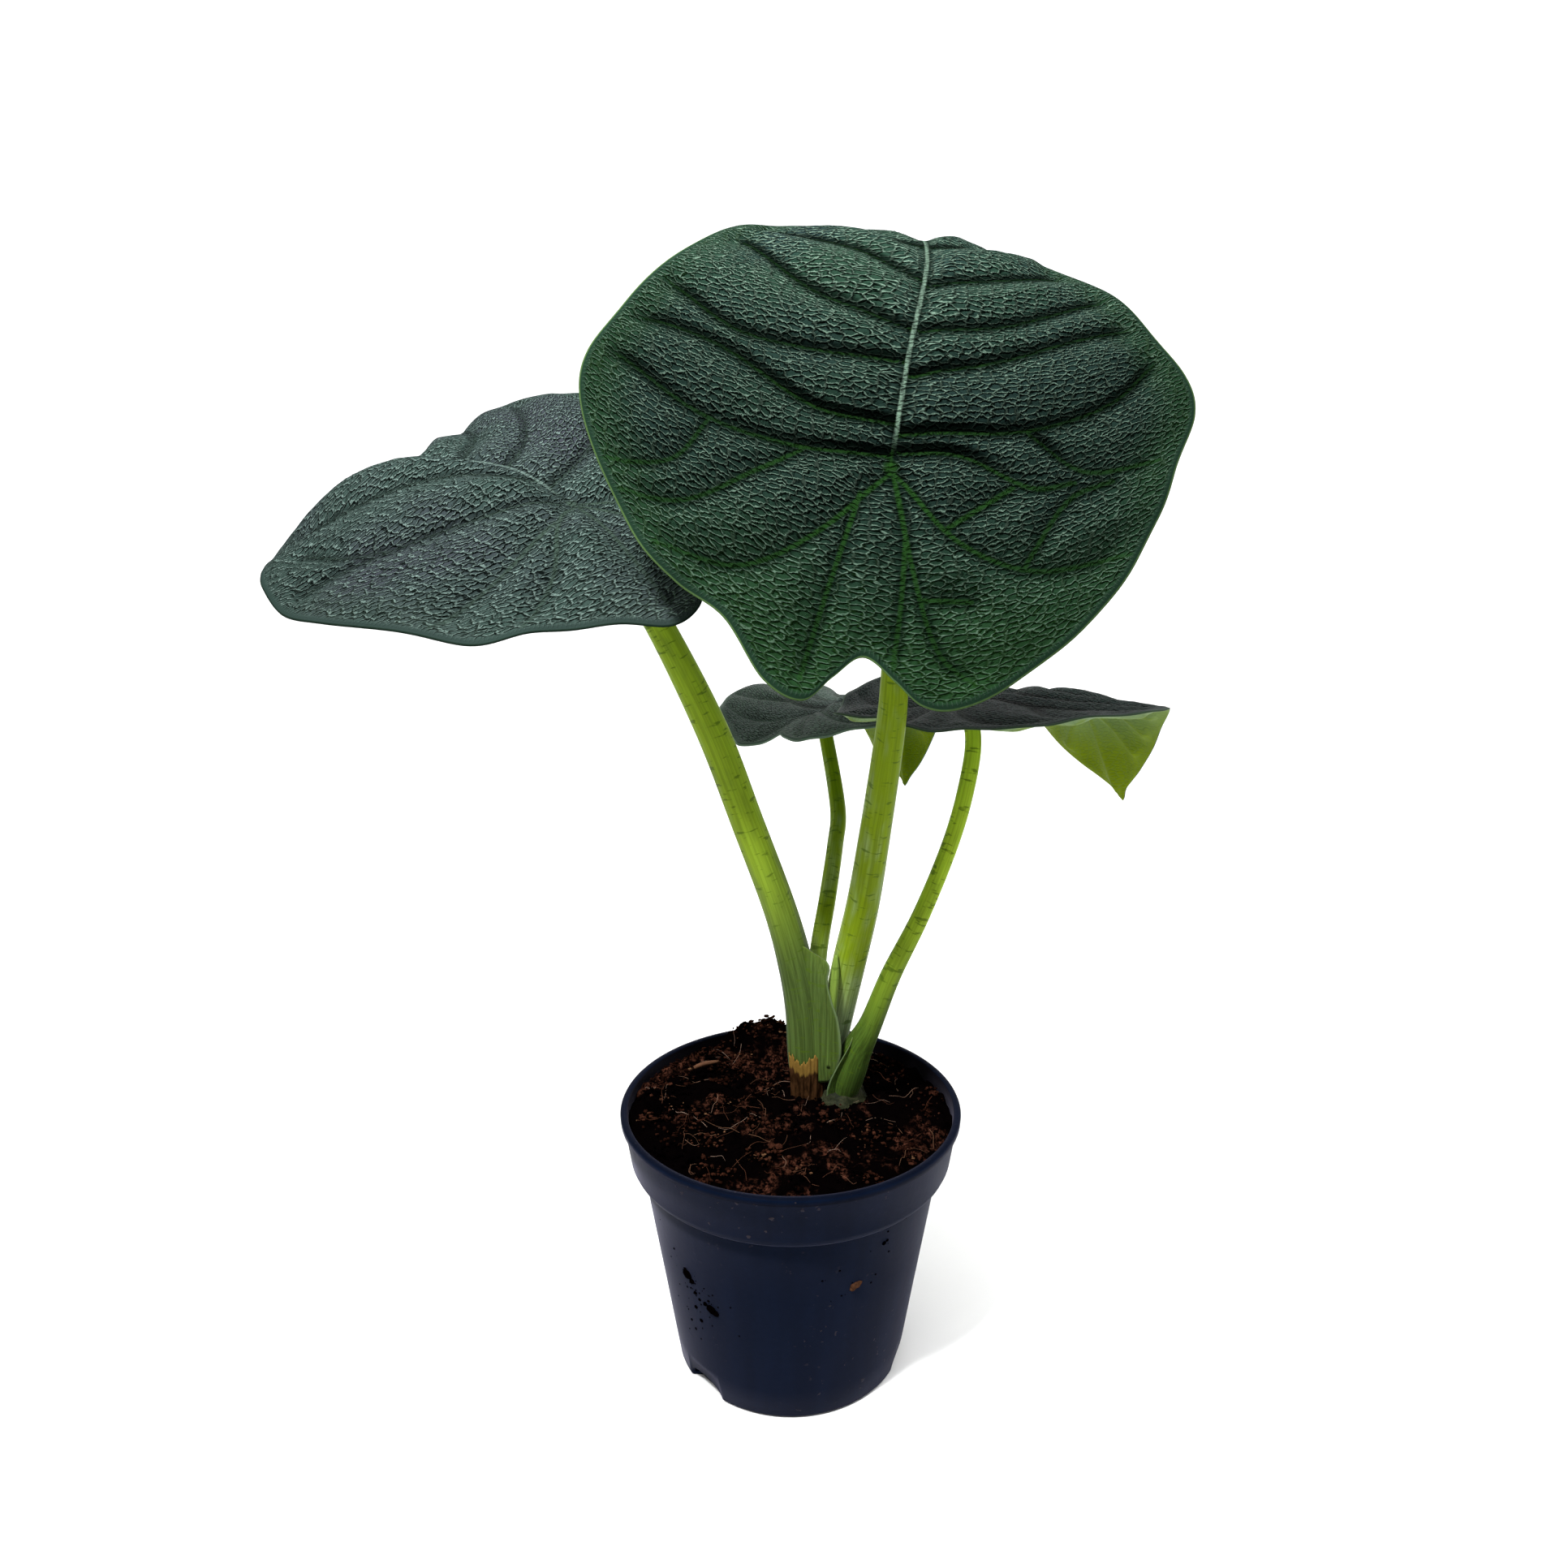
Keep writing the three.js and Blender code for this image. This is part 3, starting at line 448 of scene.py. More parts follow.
ROOTS = [
    [(12, 4, 80, 1.8), (-2, -6, 68, 1.4), (-14, -10, 50, 1.1), (-20, -14, 34, 0.9)],
    [(22, 4, 80, 1.8), (30, -10, 66, 1.4), (32, -18, 46, 1.1), (26, -22, 28, 0.9)],
    [(16, 16, 80, 1.8), (12, 26, 66, 1.4), (4, 32, 46, 1.1), (-4, 34, 26, 0.9)],
    [(24, 12, 80, 1.8), (33, 16, 68, 1.4), (38, 18, 52, 1.1), (36, 22, 36, 0.9)],
]


def rod_frames(line):
    """A side and a second side for each point of a line, turning as little as they can."""
    tangent = np.gradient(line, axis=0)
    tangent /= np.linalg.norm(tangent, axis=1)[:, None]
    side = np.empty_like(tangent)
    last = np.array([1.0, 0, 0])
    for k, along in enumerate(tangent):
        last = last - along * (last @ along)
        last /= np.linalg.norm(last)
        side[k] = last
    return side, np.cross(tangent, side)


def upright_rod(steps, sides):
    """A closed rod of radius 1 from z 0 to z 1."""
    shape = bmesh.new()
    bmesh.ops.create_cone(shape, cap_ends=True, segments=sides, radius1=1, radius2=1, depth=1)
    bmesh.ops.translate(shape, verts=shape.verts[:], vec=(0, 0, 0.5))
    cut_uprights(shape, steps - 1)
    return mesh_from("upright_rod", shape)


def rod_mesh(name, rods, steps, sides, relief=None):
    """Closed tapered rods along their points, with each corner's place on its rod."""
    pattern = upright_rod(steps, sides)
    unit = points_of(pattern)
    level = np.rint(unit[:, 2] * steps).astype(int)
    shape = bmesh.new()
    points = []
    places = []
    for rod in rods:
        shape.from_mesh(pattern)
        line = catmull_rom(rod, 12)
        spots = [np.interp(np.linspace(0, len(line) - 1, steps + 1), np.arange(len(line)), column)
                 for column in line.T]
        middle = np.column_stack(spots[:3])
        side, other = rod_frames(middle)
        run = np.concatenate([[0], np.cumsum(np.linalg.norm(np.diff(middle, axis=0), axis=1))])
        radius = spots[3][level]
        if relief:
            radius = radius * relief(np.arctan2(unit[:, 1], unit[:, 0]), run[level])
        out = unit[:, :2] * radius[:, None]
        points.append(middle[level] + out[:, :1] * side[level] + out[:, 1:] * other[level])
        places.append(np.column_stack([out, run[level]]))
    mesh = mesh_from(name, shape)
    bpy.data.meshes.remove(pattern)
    place_points(mesh, np.vstack(points))
    add_vectors(mesh, "rod", *np.vstack(places).T)
    return mesh


def joined(name, meshes):
    """One mesh of several."""
    shape = bmesh.new()
    for mesh in meshes:
        shape.from_mesh(mesh)
        bpy.data.meshes.remove(mesh)
    return mesh_from(name, shape)


# Shader maths


class Shade:
    """A value or colour in a material: arithmetic on it adds Math nodes."""

    def __init__(self, tree, socket=None):
        self.tree = tree
        self.socket = socket

    def node(self, kind, inputs=(), output=0, stops=None, **settings):
        """Adds a node with its settings, its sockets' values or links, and its output to use."""
        made = self.tree.nodes.new(kind)
        for name, value in settings.items():
            setattr(made, name, value)
        if stops:
            ramp = made.color_ramp.elements
            for k, (at, colour) in enumerate(stops):
                stop = ramp[k] if k < 2 else ramp.new(at)
                stop.position = at
                stop.color = (*colour[:3], 1)
        for name, value in dict(inputs).items():
            if isinstance(value, Shade):
                self.tree.links.new(value.socket, made.inputs[name])
            else:
                made.inputs[name].default_value = value
        return Shade(self.tree, made.outputs[output] if made.outputs else None)

    def math(self, operation, *values, clamp=False):
        return self.node(
            "ShaderNodeMath", dict(enumerate(values)), operation=operation, use_clamp=clamp)

    def __add__(self, other):
        return self.math("ADD", self, other)

    __radd__ = __add__

    def __sub__(self, other):
        return self.math("SUBTRACT", self, other)

    def __rsub__(self, other):
        return self.math("SUBTRACT", other, self)

    def __mul__(self, other):
        return self.math("MULTIPLY", self, other)

    __rmul__ = __mul__

    def __truediv__(self, other):
        return self.math("DIVIDE", self, other)

    def __pow__(self, other):
        return self.math("POWER", self, other)

    def between(self, low, high):
        """0 below low, 1 above high and smooth between them."""
        ranged = {"Value": self, "From Min": low, "From Max": high}
        return self.node("ShaderNodeMapRange", ranged, interpolation_type="SMOOTHSTEP")

    def blend(self, first, second):
        """From the first colour to the second as this value goes from 0 to 1."""
        return self.node(
            "ShaderNodeMix", {0: self, 6: rgba(first), 7: rgba(second)}, 2, data_type="RGBA")

    def part(self, axis):
        return self.node("ShaderNodeSeparateXYZ", {0: self}, axis)

    def scaled(self, factors):
        return self.node(
            "ShaderNodeVectorMath", {0: self, 1: factors}, operation="MULTIPLY")

    def attribute(self, name):
        return self.node("ShaderNodeAttribute", output=1, attribute_name=name)

    def place(self):
        return self.node("ShaderNodeTexCoord", output=3)

    def ramp(self, *stops):
        return self.node("ShaderNodeValToRGB", {"Fac": self}, stops=stops)

    def cell_edge(self):
        """Distance from this place to the edge of its cell in the net."""
        return self.node(
            "ShaderNodeTexVoronoi", {"Vector": self, "Scale": 1.0, "Randomness": 0.85},
            voronoi_dimensions="2D", feature="DISTANCE_TO_EDGE")

    def noise(self, scale, detail=3.0, rough=0.55):
        """Noise from 0 to 1 on this place."""
        return self.node(
            "ShaderNodeTexNoise",
            {"Vector": self, "Scale": scale, "Detail": detail, "Roughness": rough})


def rgba(colour):
    return colour if isinstance(colour, Shade) else (*colour[:3], 1)


def tinted(colour, factors):
    """A colour times one factor, or one for each channel."""
    return tuple(np.multiply(colour, factors))


def new_material(name):
    """A material with an empty tree, and a Shade to start its maths from."""
    material = bpy.data.materials.new(name)
    material.use_nodes = True
    material.node_tree.nodes.clear()
    return material, Shade(material.node_tree)


def finish_material(start, colour, roughness, height, depth, **constants):
    """Closes a material: a Principled shader with a bump of a depth in metres."""
    bump = start.node("ShaderNodeBump", {"Height": height, "Distance": depth, "Strength": 1.0})
    sockets = {"Base Color": colour, "Roughness": roughness, "Normal": bump}
    sockets.update({name.replace("_", " "): value for name, value in constants.items()})
    shader = start.node("ShaderNodeBsdfPrincipled", sockets)
    start.node("ShaderNodeOutputMaterial", {"Surface": shader})


def blade_top_material(cell, name, ridge, fresh, rim_colour, painted_sheen, lower_shade_and_green, shadow_shift, gloss, vein_shade):
    """Quilted upper face: a paler raised net with a painted shadow by each ridge, and green veins.

    Its half by the stalk gets painted shade by the share lower_shade_and_green, and greener lobes.
    The step in cells from a ridge to its painted shadow is shadow_shift, and vein_shade sets the
    painted shade in the creases by the main veins and in a band above them. The ridges' paler
    colour is partly their own and partly a painted highlight, and random patches take a painted
    reflection colour.
    """
    material, start = new_material(name)
    net = start.attribute("net")
    up = net.part(1)
    from_centre = net.part(2)
    rim = start.attribute("rim")
    to_margin = rim.part(1)
    vein = rim.part(2)
    rib = start.attribute("rib")
    wobble = start.node(
        "ShaderNodeTexNoise", {"Vector": net, "Scale": 0.9, "Detail": 2.0}, 1)
    warped = start.node(
        "ShaderNodeVectorMath", {0: wobble, 1: (0.9, 0.9, 0), 2: net}, operation="MULTIPLY_ADD")
    # Painted shadow: the net moved by shadow_shift gives a dark line at one side of each ridge, as
    # if light fell across the net
    beside = start.node("ShaderNodeVectorMath", {0: warped, 1: (*shadow_shift, 0)}, operation="ADD")
    edge = warped.cell_edge()
    fine = warped.noise(3.5, 2.0)
    inner = to_margin.between(1.5, 3)
    ridge_shadow = (1 - beside.cell_edge().between(0.03, 0.18)) * inner
    # Ridges painted paler: partly the net's own colour and partly a painted highlight of their lit
    # side; ridges that run into the painted shadow are dimmed
    lines = (1 - edge.between(0.01, 0.13)) * (1 - 0.8 * ridge_shadow)
    lines = lines * (0.35 + 0.9 * fine) * inner * (0.35 + 0.65 * vein.between(0.3, 0.9))
    stitch = start.math("SINE", rim.part(0) * 4.6 + fine * 3).between(0.2, 1)
    stitch = stitch * to_margin.between(0.9, 1.6) * (1 - to_margin.between(2.2, 3.2))
    patches = start.place().noise(18.0)
    # Painted shade: the half by the stalk darkens, and its ridges dim, by the share
    # lower_shade_and_green
    low = (1 - up.between(0, 50)) * lower_shade_and_green
    green = (1 - to_margin.between(2, 22)) * 0.3 * patches.between(0.3, 0.6)
    green = start.math("MAXIMUM", green, (1 - up.between(-45, -8)) * lower_shade_and_green * 0.6)
    # Painted shade in the creases by the main veins
    crease = (1 - vein.between(0.6, 3.2)) * to_margin.between(3, 12)
    # Painted shadow in a band just on the tip side of the main veins
    shadow = (1 - rib.part(2).between(0.9, 2.4)) * to_margin.between(4, 14) * up.between(-4, 3)
    in_lobes = 1 - up.between(-6, 2)
    vein_line = 1 - (vein / (1 + 0.6 * in_lobes)).between(0.15, 0.7)
    vein_line = vein_line * (1 - from_centre.between(8, 60) * 0.5) * (0.45 + 0.2 * in_lobes)
    cord = (1 - rib.part(0).between(0.4, 0.9)) * rib.part(1).between(4, 14)
    # Painted reflection: random patches take the painted_sheen colour
    base = patches.between(0.35, 0.7).blend(cell, painted_sheen)
    for mask, colour in (
        (low, tinted(cell, 0.35)),
        (ridge_shadow * 0.95, tinted(cell, 0.03)),
        (lines * (1 - low * 0.6), ridge),
        (green, fresh),
        (crease * (0.7 * vein_shade), tinted(cell, 0.1)),
        (shadow * vein_shade * (0.95 - 0.3 * from_centre.between(15, 60)), tinted(cell, 0.02)),
        (vein_line, fresh),
        (cord * (0.3 + 0.5 * fine), ridge),
        ((1 - from_centre.between(0.5, 3)) * 0.6, fresh),
        ((1 - to_margin.between(1.5, 3)) * 0.7, tinted(cell, 0.6)),
        (stitch * 0.07, ridge),
        (1 - to_margin.between(0.3, 0.7), rim_colour),
    ):
        base = mask.blend(base, colour)
    height = stitch * 0.15 + fine * 0.12 + cord * 0.4 - edge.between(0, 0.38) * inner
    rough = 0.45 + 0.14 * patches
    finish_material(start, base, rough, height, 0.0009, Specular_IOR_Level=gloss)
    return material


def blade_under_material(name, pale, tip):
    """Smooth pale underside with slightly darker ribs."""
    material, start = new_material(name)
    net = start.attribute("net")
    vein = start.attribute("rim").part(2)
    lines = 1 - net.cell_edge().between(0.02, 0.2)
    base = start.place().noise(30.0).between(0.3, 0.7).blend(pale, tinted(pale, 0.82))
    base = net.part(2).between(85, 130).blend(base, tip)
    base = ((1 - vein.between(0.4, 1.8)) * 0.5).blend(base, tip)
    base = (lines * 0.25).blend(base, tinted(pale, 0.6))
    finish_material(
        start, base, 0.5 + 0.1 * lines, 1 - lines, 0.00012, Specular_IOR_Level=0.03)
    return material


def stalk_material(name, core, lower, fleck, foot, top):
    """Fleshy stalk: fine lengthwise lines, a streaked foot in the lower colour and short dark
    flecks. On the left and right stalks that foot colour is painted shade; on the front and back
    ones it is partly their own pale colour and partly painted light.
    """
    material, start = new_material(name)
    rod = start.attribute("rod")
    lines = rod.scaled((1.6, 1.6, 0.012)).noise(1.0, 3.0, 0.6)
    marks = rod.scaled((0.25, 0.25, 1.0)).noise(0.7, 2.0, 0.5).between(0.6, 0.68)
    patches = rod.scaled((0.2, 0.2, 0.06)).noise(1.0, 2.0)
    wing_edge = start.attribute("pale").part(0).between(0.9, 0.98)
    streaked = lines.between(0.35, 0.65).blend(tinted(lower, 0.65), tinted(lower, 1.3))
    base = lines.between(0.3, 0.7).blend(tinted(core, 0.8), tinted(core, 1.15))
    base = ((1 - rod.part(2).between(foot, top)) * 0.95).blend(base, streaked)
    base = (patches.between(0.45, 0.8) * 0.4).blend(base, streaked)
    base = (marks * 0.7).blend(base, fleck)
    base = (wing_edge * 0.6).blend(base, (0.12, 0.17, 0.08))
    finish_material(
        start, base, 0.32 + 0.15 * patches, lines, 0.00015, Subsurface_Weight=0.06,
        Subsurface_Scale=0.002, Sheen_Weight=0.02, Specular_IOR_Level=0.03)
    return material


def rootstock_material(name, light, dark):
    """Matt waxy skin that varies between two colours with its own grain."""
    material, start = new_material(name)
    place = start.place()
    grain = place.noise(840.0, 4.0, 0.65)
    base = (place.noise(140.0) * 0.6 + grain * 0.4).between(0.35, 0.65).blend(dark, light)
    rough = 0.5 + 0.15 * (grain - 0.5)
    finish_material(start, base, rough, grain, 0.0004, Specular_IOR_Level=0.03)
    return material


def dry_scale_material(name, torn, body):
    """Dry papery skin: brown, with a tan torn strip along its top."""
    material, start = new_material(name)
    place = start.place().scaled((1, 1, 0.25))
    grain = place.noise(540.0, 4.0, 0.65)
    height = start.attribute("tone").part(0) + (place.noise(90.0) - 0.5) * 0.35
    base = grain.between(0.35, 0.65).blend(tinted(body, 0.4), tinted(body, 1.8))
    base = (height.between(0.72, 0.8) * (0.5 + 0.5 * grain)).blend(base, torn)
    rough = 0.75 + 0.15 * (grain - 0.5)
    finish_material(start, base, rough, grain, 0.0004, Specular_IOR_Level=0.0)
    return material


def crumb_material(name):
    """Potting mix: black peat, reddish crumbs and tan bits, each crumb in its own tone."""
    material, start = new_material(name)
    tone = start.attribute("tone")
    place = start.place()
    grain = place.noise(900.0, 3.0, 0.7)
    broad = place.noise(160.0, 3.0, 0.6)
    colour = tone.part(0).ramp(
        (0.0, (0.0002, 0.0001, 0.0002)), (0.6, (0.0008, 0.0004, 0.0004)),
        (0.8, (0.012, 0.004, 0.0024)), (0.92, (0.04, 0.014, 0.008)), (1.0, (0.13, 0.07, 0.035)))
    base = (grain.between(0.35, 0.75) * 0.7).blend(colour, (0.0006, 0.0004, 0.0004))
    clump = place.noise(48.0, 3.0, 0.6).between(0.5, 0.6) * tone.part(1)
    fluff = place.noise(520.0, 5.0, 0.75).between(0.46, 0.66) * (0.25 + 0.75 * broad)
    base = (clump * fluff).blend(base, (0.075, 0.027, 0.016))
    finish_material(
        start, base, 0.75 + 0.2 * grain, grain + broad, 0.0004, Specular_IOR_Level=0.0)
    return material


def fibre_material(name):
    """Coir: brown to tan, each fibre in its own tone."""
    material, start = new_material(name)
    grain = start.place().noise(700.0, 3.0, 0.6)
    colour = start.attribute("tone").part(0).ramp(
        (0.0, (0.04, 0.012, 0.006)), (0.5, (0.09, 0.045, 0.025)), (1.0, (0.2, 0.14, 0.11)))
    base = (grain.between(0.4, 0.7) * 0.5).blend(colour, (0.03, 0.014, 0.008))
    finish_material(start, base, 0.6 + 0.2 * grain, grain, 0.00006, Specular_IOR_Level=0.03)
    return material


def pot_material(name, body, dust):
    """Moulded dark plastic: satin, with faint upright drag lines and a little soil dust."""
    material, start = new_material(name)
    place = start.place()
    drag = place.scaled((1, 1, 0.05)).noise(120.0, 2.0, 0.5)
    specks = place.noise(420.0, 2.0, 0.6)
    broad = place.noise(22.0)
    dusty = specks.between(0.66, 0.72) * broad.between(0.45, 0.7)
    base = drag.between(0.35, 0.7).blend(tinted(body, 0.9), tinted(body, 1.12))
    base = (dusty * 0.25).blend(base, dust)
    # Painted shade: the inner wall above the soil is near-black, and the rim's top half way
    base = start.attribute("inside").part(0).blend(base, (0.0012, 0.0008, 0.0012))
    rough = 0.36 + 0.12 * broad + 0.3 * dusty
    finish_material(
        start, base, rough, drag * 0.3 + specks * 0.35 + dusty, 0.00008, Specular_IOR_Level=0.004,
        Sheen_Weight=0.07, Sheen_Roughness=0.4, Sheen_Tint=(0.75, 0.72, 1.0, 1.0))
    return material


# Pot and soil: the settings' defaults in metres, and the rest in millimetres

RIM_RADIUS = 0.06
POT_HEIGHT = 0.097
SOIL_LEVEL = 93.5
SOIL_BUMPS = [
    ((-10, 47), (18, 10), 11.5),
    ((4, 9), (10, 8), 2.5),
    ((-8, 15), (8, 9), -3.5),
    ((39, 23), (9, 10), -3.5),
]


def soil_height(x, y):
    """Height of the loose surface over the pot's floor, without its crumbs."""
    toward_rim = smooth_step(np.hypot(x, y), 51, 58)
    bumps = sum(
        height * np.exp(-(((x - at[0]) / spread[0]) ** 2) - ((y - at[1]) / spread[1]) ** 2)
        for at, spread, height in SOIL_BUMPS)
    fill = 1.6 * smooth_step(-y, 10, 50) + 1.4 * smooth_step(-x, 15, 50)
    lumps = 0.9 * np.sin(0.31 * x + 1.3) * np.cos(0.27 * y + 0.4)
    lumps += 0.6 * np.sin(0.55 * x - 0.4 * y) + 0.4 * np.cos(0.83 * y + 0.5 * x)
    return SOIL_LEVEL + bumps * (1 - toward_rim) + fill + lumps + 0.35 - 1.5 * toward_rim


# Settings that a user would change


class PlantSettings(bpy.types.PropertyGroup):
    """Sizes and colours of the blades and stalks"""

    thickness: FloatProperty(
        name="Blade thickness", description="Thickness of a blade away from its rim",
        default=0.0011, min=0.0006, unit="LENGTH", subtype="DISTANCE")
    pillow: FloatProperty(
        name="Pillow height", description="Height of the quilting over the main veins",
        default=0.0034, min=0, unit="LENGTH", subtype="DISTANCE")
    front_cell: FloatVectorProperty(
        name="Front blade", description="Colour between the net's ridges on the front blade",
        default=(0.0125, 0.03, 0.0195), subtype="COLOR")
    left_cell: FloatVectorProperty(
        name="Left blade", description="Colour between the net's ridges on the left blade",
        default=(0.0235, 0.04, 0.0345), subtype="COLOR")
    back_cell: FloatVectorProperty(
        name="Back blade", description="Colour between the net's ridges on the back blade",
        default=(0.042, 0.07, 0.05), subtype="COLOR")
    right_cell: FloatVectorProperty(
        name="Right blade", description="Colour between the net's ridges on the right blade",
        default=(0.012, 0.025, 0.021), subtype="COLOR")
    stalk: FloatVectorProperty(
        name="Stalks", description="Yellow-green of the upper stalks",
        default=(0.155, 0.23, 0.006), subtype="COLOR")


class PotSettings(bpy.types.PropertyGroup):
    """Sizes and colours of the pot and its soil"""

    rim_radius: FloatProperty(
        name="Rim radius", description="Outer radius of the pot's rim",
        default=RIM_RADIUS, unit="LENGTH", subtype="DISTANCE")
    height: FloatProperty(
        name="Pot height", description="Height of the pot's rim",
        default=POT_HEIGHT, unit="LENGTH", subtype="DISTANCE")
    colour: FloatVectorProperty(
        name="Pot colour", description="Dark navy of the moulded plastic",
        default=(0.0016, 0.0042, 0.0125), subtype="COLOR")
    crumbs: IntProperty(
        name="Crumbs", description="Number of loose crumbs on the soil", default=2600, min=1)
    fibres: IntProperty(
        name="Fibres", description="Number of loose coir fibres on the soil", default=90, min=0)
    seed: IntProperty(name="Seed", description="Seed of the loose crumbs and fibres", default=7)


class StudioSettings(bpy.types.PropertyGroup):
    """Light and floor round the plant"""

    beam: FloatProperty(
        name="Beam", description="Power of the narrow beam on the blades", default=200,
        unit="POWER")
    key: FloatProperty(
        name="Overhead light", description="Power of the large light overhead", default=3,
        unit="POWER")
    backdrop: FloatProperty(
        name="Backdrop light", description="Power of the light over the backdrop", default=105,
        unit="POWER")
    room: FloatProperty(
        name="Room light", description="Strength of the even light from all sides", default=0.32,
        min=0)
    floor: FloatVectorProperty(
        name="Floor", description="Pale colour of the floor", default=(0.88, 0.88, 0.88),
        subtype="COLOR")


# Operators


# Names and colours of the blades' tops (ridges, partly a painted highlight, fresh green, rim,
# painted reflection), and their lower_shade_and_green, shadow_shift, gloss and vein_shade: painted
# shade on the half by the stalk, the step to each ridge's painted shadow, the specular level and
# painted shade by the main veins
BLADE_TOPS = {
    "front": (
        "quilted_green", (0.125, 0.19, 0.145), (0.01, 0.037, 0.006), (0.05, 0.09, 0.03),
        (0.011, 0.02, 0.022), 0.75, (0, 0.24), 0.0, 1.0),
    "left": (
        "quilted_grey", (0.118, 0.168, 0.15), (0.035, 0.056, 0.042), (0.008, 0.016, 0.011),
        (0.028, 0.031, 0.039), 0.2, (0.17, 0.16), 0.0, 0.45),
    "back": (
        "quilted_young", (0.09, 0.12, 0.11), (0.014, 0.035, 0.02), (0.1, 0.15, 0.11),
        (0.026, 0.036, 0.034), 0.1, (0, 0.24), 0.03, 0.5),
    "right": (
        "quilted_black", (0.06, 0.085, 0.08), (0.006, 0.014, 0.01), (0.03, 0.05, 0.03),
        (0.014, 0.02, 0.023), 0.5, (0, 0.24), 0.025, 0.8),
}


class ALOCASIA_OT_blades(bpy.types.Operator):
    """Builds the four quilted blades"""

    bl_idname = "alocasia.blades"
    bl_label = "Blades"

    def execute(self, context):
        plant = context.scene.alocasia_plant
        under = blade_under_material("pale_underside", (0.17, 0.26, 0.11), (0.14, 0.2, 0.002))
        for name, blade in BLADES.items():
            top = blade_top_material(getattr(plant, f"{name}_cell"), *BLADE_TOPS[name])
            mesh = blade_mesh(f"blade_{name}", blade, plant)
            new_piece(f"blade_{name}", mesh, [top, under], [f"leaf_{name}"])
        return {"FINISHED"}


class ALOCASIA_OT_stalks(bpy.types.Operator):
    """Builds the four fleshy stalks, two of them with a sheath wing at the foot"""

    bl_idname = "alocasia.stalks"
    bl_label = "Stalks"

    def execute(self, context):
        plant = context.scene.alocasia_plant
        # The front and back stalks' pale foot: partly their own colour and partly painted light
        pale_lit_foot = stalk_material(
            "stalk_flesh", plant.stalk, (0.26, 0.335, 0.2), (0.05, 0.09, 0.005), 24, 66)
        flesh = {
            "front": pale_lit_foot,
            "back": pale_lit_foot,
            # Painted light and shade: the left stalk's core is brightened and its foot darkened
            "left": stalk_material(
                "stalk_lit_core_shaded_foot", tinted(plant.stalk, (1.36, 1.36, 3)), (0.035, 0.058, 0.014),
                (0.045, 0.08, 0.005), 50, 122),
            # Painted light and shade: the right stalk's core is brightened more, and its foot
            # darkened
            "right": stalk_material(
                "stalk_slim", tinted(plant.stalk, (1.95, 1.95, 4)), (0.019, 0.042, 0.007),
                (0.045, 0.08, 0.005), 22, 98),
        }
        for name, points in STALKS.items():
            mesh = rod_mesh(f"stalk_{name}", [points], 70, 36, stalk_ribs)
            seat_under_blade(mesh, BLADES[name])
            if name in WINGS:
                mesh = joined(f"stalk_{name}", [mesh, wing_mesh(*WINGS[name])])
            new_piece(f"stalk_{name}", mesh, [flesh[name]], [f"petiole_{name}"])
        return {"FINISHED"}


def seat_under_blade(mesh, blade):
    """Pulls a stalk's end back to the plane of the blade's dimple, in which it is rooted."""
    middle, normal = blade_sheet(blade, np.zeros(1), np.zeros(1))
    point, normal = middle[0], normal[0]
    seat = point - normal * 5.4 * blade["size"]
    spots = points_of(mesh) / MM
    over = (spots - seat) @ normal
    near = (np.linalg.norm(spots - point, axis=1) < 25) & (over > 0)
    place_points(mesh, spots - np.outer(np.where(near, over, 0), normal))


def stalk_ribs(turn, along):
    """Slight lengthwise ribs of a stalk, as a share of its radius."""
    return 1 + 0.012 * np.sin(9 * turn + 0.02 * along) + 0.01 * np.sin(14 * turn - 0.03 * along)


def wing_mesh(edge, root_top, root_foot):
    """A thin sheath wing, from inside its stalk to its free edge."""
    mesh = plate_mesh("wing", 12, 40)
    across, down, layer = (points_of(mesh) * (1, -1, 1) + (0.5, 0.5, 0)).T
    edge = catmull_rom(edge, 12)
    free = np.column_stack([
        np.interp(down * (len(edge) - 1), np.arange(len(edge)), column) for column in edge.T])
    root = np.column_stack([
        np.interp(down, (0, 1), ends) for ends in zip(root_top, root_foot)])
    root[:, 2] += free[:, 2]
    point = root + (free - root) * across[:, None]
    point[:, 0] += 0.35 * np.sin(9 * down + 1) * across
    point[:, 1] += (layer - 0.5) * (1 - 0.5 * across) - 0.4 * np.sin(math.pi * across)
    place_points(mesh, point)
    add_vectors(mesh, "rod", *(point - (8, 5, 88)).T)
    add_vectors(mesh, "pale", across)
    return mesh


class ALOCASIA_OT_foot(bpy.types.Operator):
    """Builds the new shoot, the rootstock with its roots and the dried sheath"""

    bl_idname = "alocasia.foot"
    bl_label = "Foot of the plant"

    def execute(self, context):
        fresh = stalk_material(
            "shoot_flesh", (0.13, 0.2, 0.03), (0.06, 0.1, 0.02), (0.05, 0.09, 0.01), 10, 36)
        shoot = rod_mesh("rolled_shoot", [SHOOT], 30, 20)
        new_piece("rolled_shoot", shoot, [fresh], ["new_shoot"])
        waxy = rootstock_material(
            "waxy_rootstock", (0.026, 0.028, 0.013), (0.006, 0.008, 0.004))
        new_piece("rootstock", rootstock_mesh(), [waxy], ["corm_with_roots"])
        papery = dry_scale_material("dry_scale", (0.17, 0.1, 0.022), (0.022, 0.01, 0.004))
        new_piece("dry_scale", dry_scale_mesh(), [papery], ["dried_sheath"])
        return {"FINISHED"}


